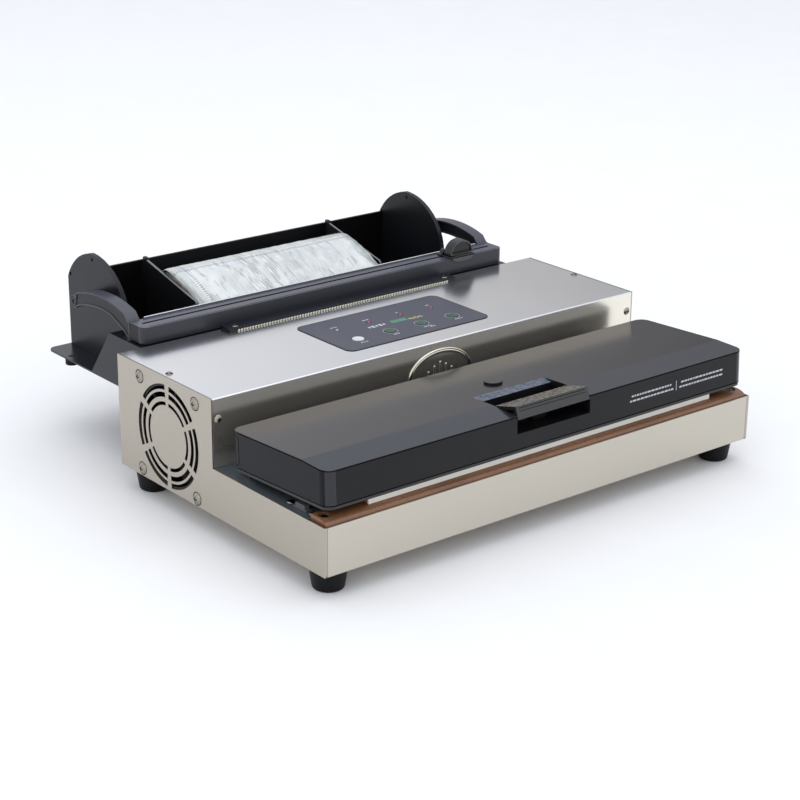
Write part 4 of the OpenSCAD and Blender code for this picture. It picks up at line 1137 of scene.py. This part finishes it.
def smooth_path(points, steps):
    """Catmull-Rom line through points, as steps + 1 places evenly spaced along it, and its length."""
    fine = []
    padded = [points[0]] + points + [points[-1]]
    for a, b, c, d in zip(padded, padded[1:], padded[2:], padded[3:]):
        for k in range(12):
            t = k / 12
            fine.append(tuple(0.5 * (2 * q + (r - p) * t + (2 * p - 5 * q + 4 * r - s) * t * t
                                     + (3 * q - p - 3 * r + s) * t ** 3)
                              for p, q, r, s in zip(a, b, c, d)))
    fine.append(points[-1])
    sums = [0.0]
    for p, q in zip(fine, fine[1:]):
        sums.append(sums[-1] + math.dist(p, q))
    out, k = [], 0
    for i in range(steps + 1):
        want = sums[-1] * i / steps
        while k < len(sums) - 2 and sums[k + 1] < want:
            k += 1
        share = (want - sums[k]) / max(sums[k + 1] - sums[k], 1e-9)
        out.append(tuple(p + (q - p) * share for p, q in zip(fine[k], fine[k + 1])))
    return out, sums[-1]


def make_film_web():
    """The film drawn off the roll and under the cutter: crinkled, ribbed front to back, with a thin edge."""
    left, right = -104.3, 100.5
    width = right - left
    across, along = 380, 160
    path, length = smooth_path(FILM_PATH, along)
    bm = bmesh.new()
    sheets = []
    for side in (0, 1):
        grid = []
        for j, (y, z) in enumerate(path):
            p, q = path[max(j - 1, 0)], path[min(j + 1, along)]
            dy, dz = q[0] - p[0], q[1] - p[1]
            size = math.hypot(dy, dz)
            up_y, up_z = dz / size, -dy / size
            if up_z < 0:
                up_y, up_z = -up_y, -up_z
            run = length * j / along
            loose = min(1.0, max(0.0, (y - 338) / 20)) * (0.25 + 0.75 * min(1.0, max(0.0, (416 - y) / 20)))
            row = []
            for i in range(across + 1):
                x = left + width * i / across
                crinkle = noise.noise(Vector((x * 0.14, run * 0.06, 1.7))) * 0.7
                crinkle += abs(noise.noise(Vector((x * 0.06 + run * 0.03, run * 0.055, 9.1)))) * 1.3
                fold = noise.noise(Vector((x * 0.5, run * 0.035, 4.2))) * 0.3
                rib = 0.06 * math.sin(2 * math.pi * x / 1.9)
                lift = loose * (crinkle + fold + 0.35) + rib * (0.3 + 0.7 * loose)
                lift *= min(1.0, max(0.25, (x - left) / 6))
                droop = 0.0
                edge = (x - (right - 9)) / 9
                if edge > 0:
                    droop = -1.2 * edge * edge * loose
                edge = (left + 4 - x) / 4
                if edge > 0:
                    droop = -3.4 * edge * edge * loose
                h = lift + droop + (0.0 if side == 0 else -0.14)
                row.append(bm.verts.new(at(x, y + up_y * h, z + up_z * h)))
            grid.append(row)
        sheets.append(grid)
    for side, grid in enumerate(sheets):
        for j in range(along):
            for i in range(across):
                quad = (grid[j][i], grid[j][i + 1], grid[j + 1][i + 1], grid[j + 1][i])
                bm.faces.new(quad if side else quad[::-1])
    top, under = sheets
    for j in range(along):
        for i in (0, across):
            bm.faces.new((top[j][i], top[j + 1][i], under[j + 1][i], under[j][i]))
    for i in range(across):
        for j in (0, along):
            bm.faces.new((top[j][i], top[j][i + 1], under[j][i + 1], under[j][i]))
    obj = piece("film", mesh_from("film", bm), ["film"], "chassis", ("film_web",))
    round(length * MM, 4)


make_film_web()

# ---------------------------------------------------------------- cutter bar

rail_low, rail_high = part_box("cutter_rail")
RAIL_TOP = drawn(rail_high)[2] - 1.2
TRACK_Y = drawn(sum(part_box("cutter_blade"), Vector()) / 2)[1]


# The walls of the cutter track take the near-black as painted shade, and the rail's upward faces a lighter, bluer copy
# of its paint as painted light.
def pick_rail(centre_point, normal):
    x, y, z = drawn(centre_point)
    if abs(y - TRACK_Y) < 4.2 and z < RAIL_TOP - 0.3 and abs(normal.z) < 0.9:
        return 1
    if normal.z > 0.9 and z > RAIL_TOP - 0.5:
        return 2
    return 0


rounded("cutter_rail", ["rail", "pocket", "rail_top_lit"], 0.7 * MM, segments=3, pick=pick_rail)


def sink_arm_faces(bm):
    """The flat sides of the arms lie a little below their rims. The sunk faces take a darker copy of the arm paint as
    painted shade, and the upward faces a lighter one as painted light.
    """
    planes, sunk = {}, []
    for face in bm.faces:
        if abs(face.normal.x) > 0.99:
            planes.setdefault(round(face.calc_center_median().x / (0.1 * MM)), []).append(face)
    for faces in planes.values():
        if sum(f.calc_area() for f in faces) > 0.0003:
            bmesh.ops.inset_region(bm, faces=faces, thickness=1.3 * MM, depth=0, use_even_offset=True,
                                   use_boundary=True)
            bmesh.ops.inset_region(bm, faces=faces, thickness=0.15 * MM, depth=-0.8 * MM, use_even_offset=True,
                                   use_boundary=True)
            sunk += faces
    for face in bm.faces:
        face.material_index = 1 if abs(face.normal.x) < 0.5 and face.normal.z > 0.35 else 0
    for face in sunk:
        face.material_index = 2


rounded("cutter_arms", ["rail", "arm_top_lit", "arm_face_shaded"], 0.4 * MM, segments=2, angle=35, change=sink_arm_faces)


def make_rail_line():
    """Bright aluminium strip along the rear ridge of the rail, a painted highlight, and a near-black strip behind its
    front edge, the painted shade of a groove.
    """
    x1 = rail_high.x / MM - 16
    y1, z1 = drawn(rail_high)[1], drawn(rail_high)[2]
    bm = bmesh.new()
    outline = [(y1 - 1.25, z1 - 0.5), (y1 - 0.15, z1 - 0.5), (y1 - 0.15, z1 + 0.25), (y1 - 0.5, z1 + 0.5),
               (y1 - 1.0, z1 + 0.5), (y1 - 1.25, z1 + 0.25)]
    prism_into(bm, outline, lambda u, v, w: at(-x1 + w, u, v), 2 * x1)
    front_y = drawn(rail_low)[1]
    reach = rail_high.x / MM - 8
    box_into(bm, at(-reach, front_y + 1.5, RAIL_TOP - 0.3), at(reach, front_y + 2.2, RAIL_TOP + 0.04))
    for face in bm.faces:
        face.material_index = 1 if drawn(face.calc_center_median())[1] < front_y + 5 else 0
    piece("rail_line", mesh_from("rail line", bm, smooth=False), ["aluminium", "seam_and_shade"], "cutter_bar")


make_rail_line()


def make_knob():
    """Cutter knob: half disc with a raised rim and a sunk face, on a saddle that wraps the rail's front edge."""
    low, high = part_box("cutter_carriage")
    x0 = (low.x + high.x) / 2 / MM
    y0, y1 = drawn(low)[1], drawn(high)[1]
    top = RAIL_TOP
    crown = drawn(high)[2]
    bm = bmesh.new()

    def along_y(u, v, w):
        return at(x0 + u, y0 + w, v)

    # saddle: boat-shaped in front view, lapping over the rail's front edge
    steps = 24
    deep = 3.9
    saddle_top = [(-15 + 30 * k / steps, top + 3.0 - 1.6 * abs(-1 + 2 * k / steps) ** 3) for k in range(steps + 1)]
    saddle_low = [(15 - 30 * k / steps, top + 0.2) for k in range(steps + 1)]
    prism_into(bm, saddle_low[::-1] + saddle_top[::-1], along_y, y1 - y0)
    # The saddle's lip takes the lighter rim material: painted highlight.
    lip_low = [(-13.5 + 27 * k / steps, top - deep * math.sqrt(max(0.0, 1 - (-1 + 2 * k / steps) ** 2)) - 0.05)
               for k in range(steps + 1)]
    prism_into(bm, lip_low + [(13.5, top + 1.6), (-13.5, top + 1.6)], along_y, 1.3, 1)
    # half disc with a rim
    cz = top + 2.2
    r_out = min(crown - cz, 14.0)
    r_in = r_out - 1.9
    outer = arc(0, cz, r_out, r_out, 180, 0, 36)
    inner = arc(0, cz + 1.7, r_in, r_in - 1.7, 180, 0, 36)
    disc_y0, disc_y1 = 2.4, 12.6
    loops = [[bm.verts.new(along_y(u, v, w)) for u, v in line]
             for line, w in ((outer, disc_y1), (outer, disc_y0), (inner, disc_y0), (inner, disc_y0 + 1.6))]
    # The rim's front face takes the lighter rim material: painted highlight.
    for index, (first, second) in enumerate(zip(loops, loops[1:])):
        bridge(bm, first, second, 1 if index == 1 else 0)
    bm.faces.new(loops[3])
    bm.faces.new(loops[0][::-1])
    # ledge across the sunk face
    ledge = [(-r_in + 1.2, cz + 2.4), (r_in - 1.2, cz + 2.4), (r_in - 1.4, cz + 3.3), (-r_in + 1.4, cz + 3.3)]
    prism_into(bm, ledge, lambda u, v, w: along_y(u, v, disc_y0 + 0.7 + w), 1.0)
    # small hump behind, on the left
    hump = arc(-11.5, top + 2.6, 3.6, 4.2, 180, 0, 15)
    prism_into(bm, hump, lambda u, v, w: along_y(u, v, 13.2 + w), 5.0)
    # slider in the track, holding the blade
    for half_y, z in ((1.1, top + 0.4), (3, top - 10.3)):
        box_into(bm, at(x0 - 9, TRACK_Y - half_y, top - 12.7), at(x0 + 9, TRACK_Y + half_y, z))
    obj = piece("cutter_knob", mesh_from("cutter knob", bm), ["knob", "knob_rim_highlight"], "cutter",
                ("cutter_carriage",))
    soften(obj, 0.35 * MM, segments=2, angle=30)


make_knob()

# ---------------------------------------------------------------- power switch

def make_rocker_marks():
    """Generic on and off marks on the power switch."""
    low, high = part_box("switch_rocker")
    x = (low.x + high.x) / 2 / MM
    joint = next(j for j in frame["joints"] if j["name"] == "power_switch_tilt")
    hinge = drawn(Vector(joint["pos_m"]))
    tilt = math.radians(12)

    def rocker(u, v, w):
        dy, dz = 4.25 + w + (abs(v) - 1.0) * 0.14, v
        return at(x + u, hinge[1] + dy * math.cos(tilt) - dz * math.sin(tilt),
                  hinge[2] + dy * math.sin(tilt) + dz * math.cos(tilt))

    bm = bmesh.new()
    slab(bm, bar(0, 2.2, 0.5, 2.0), rocker, -0.1, 0.12)
    ring_into(bm, circle(0, -2.2, 1.1, 28), circle(0, -2.2, 0.7, 28), rocker, -0.1, 0.12)
    piece("rocker_marks", mesh_from("rocker marks", bm, smooth=False), ["print"], "power_switch")


make_rocker_marks()

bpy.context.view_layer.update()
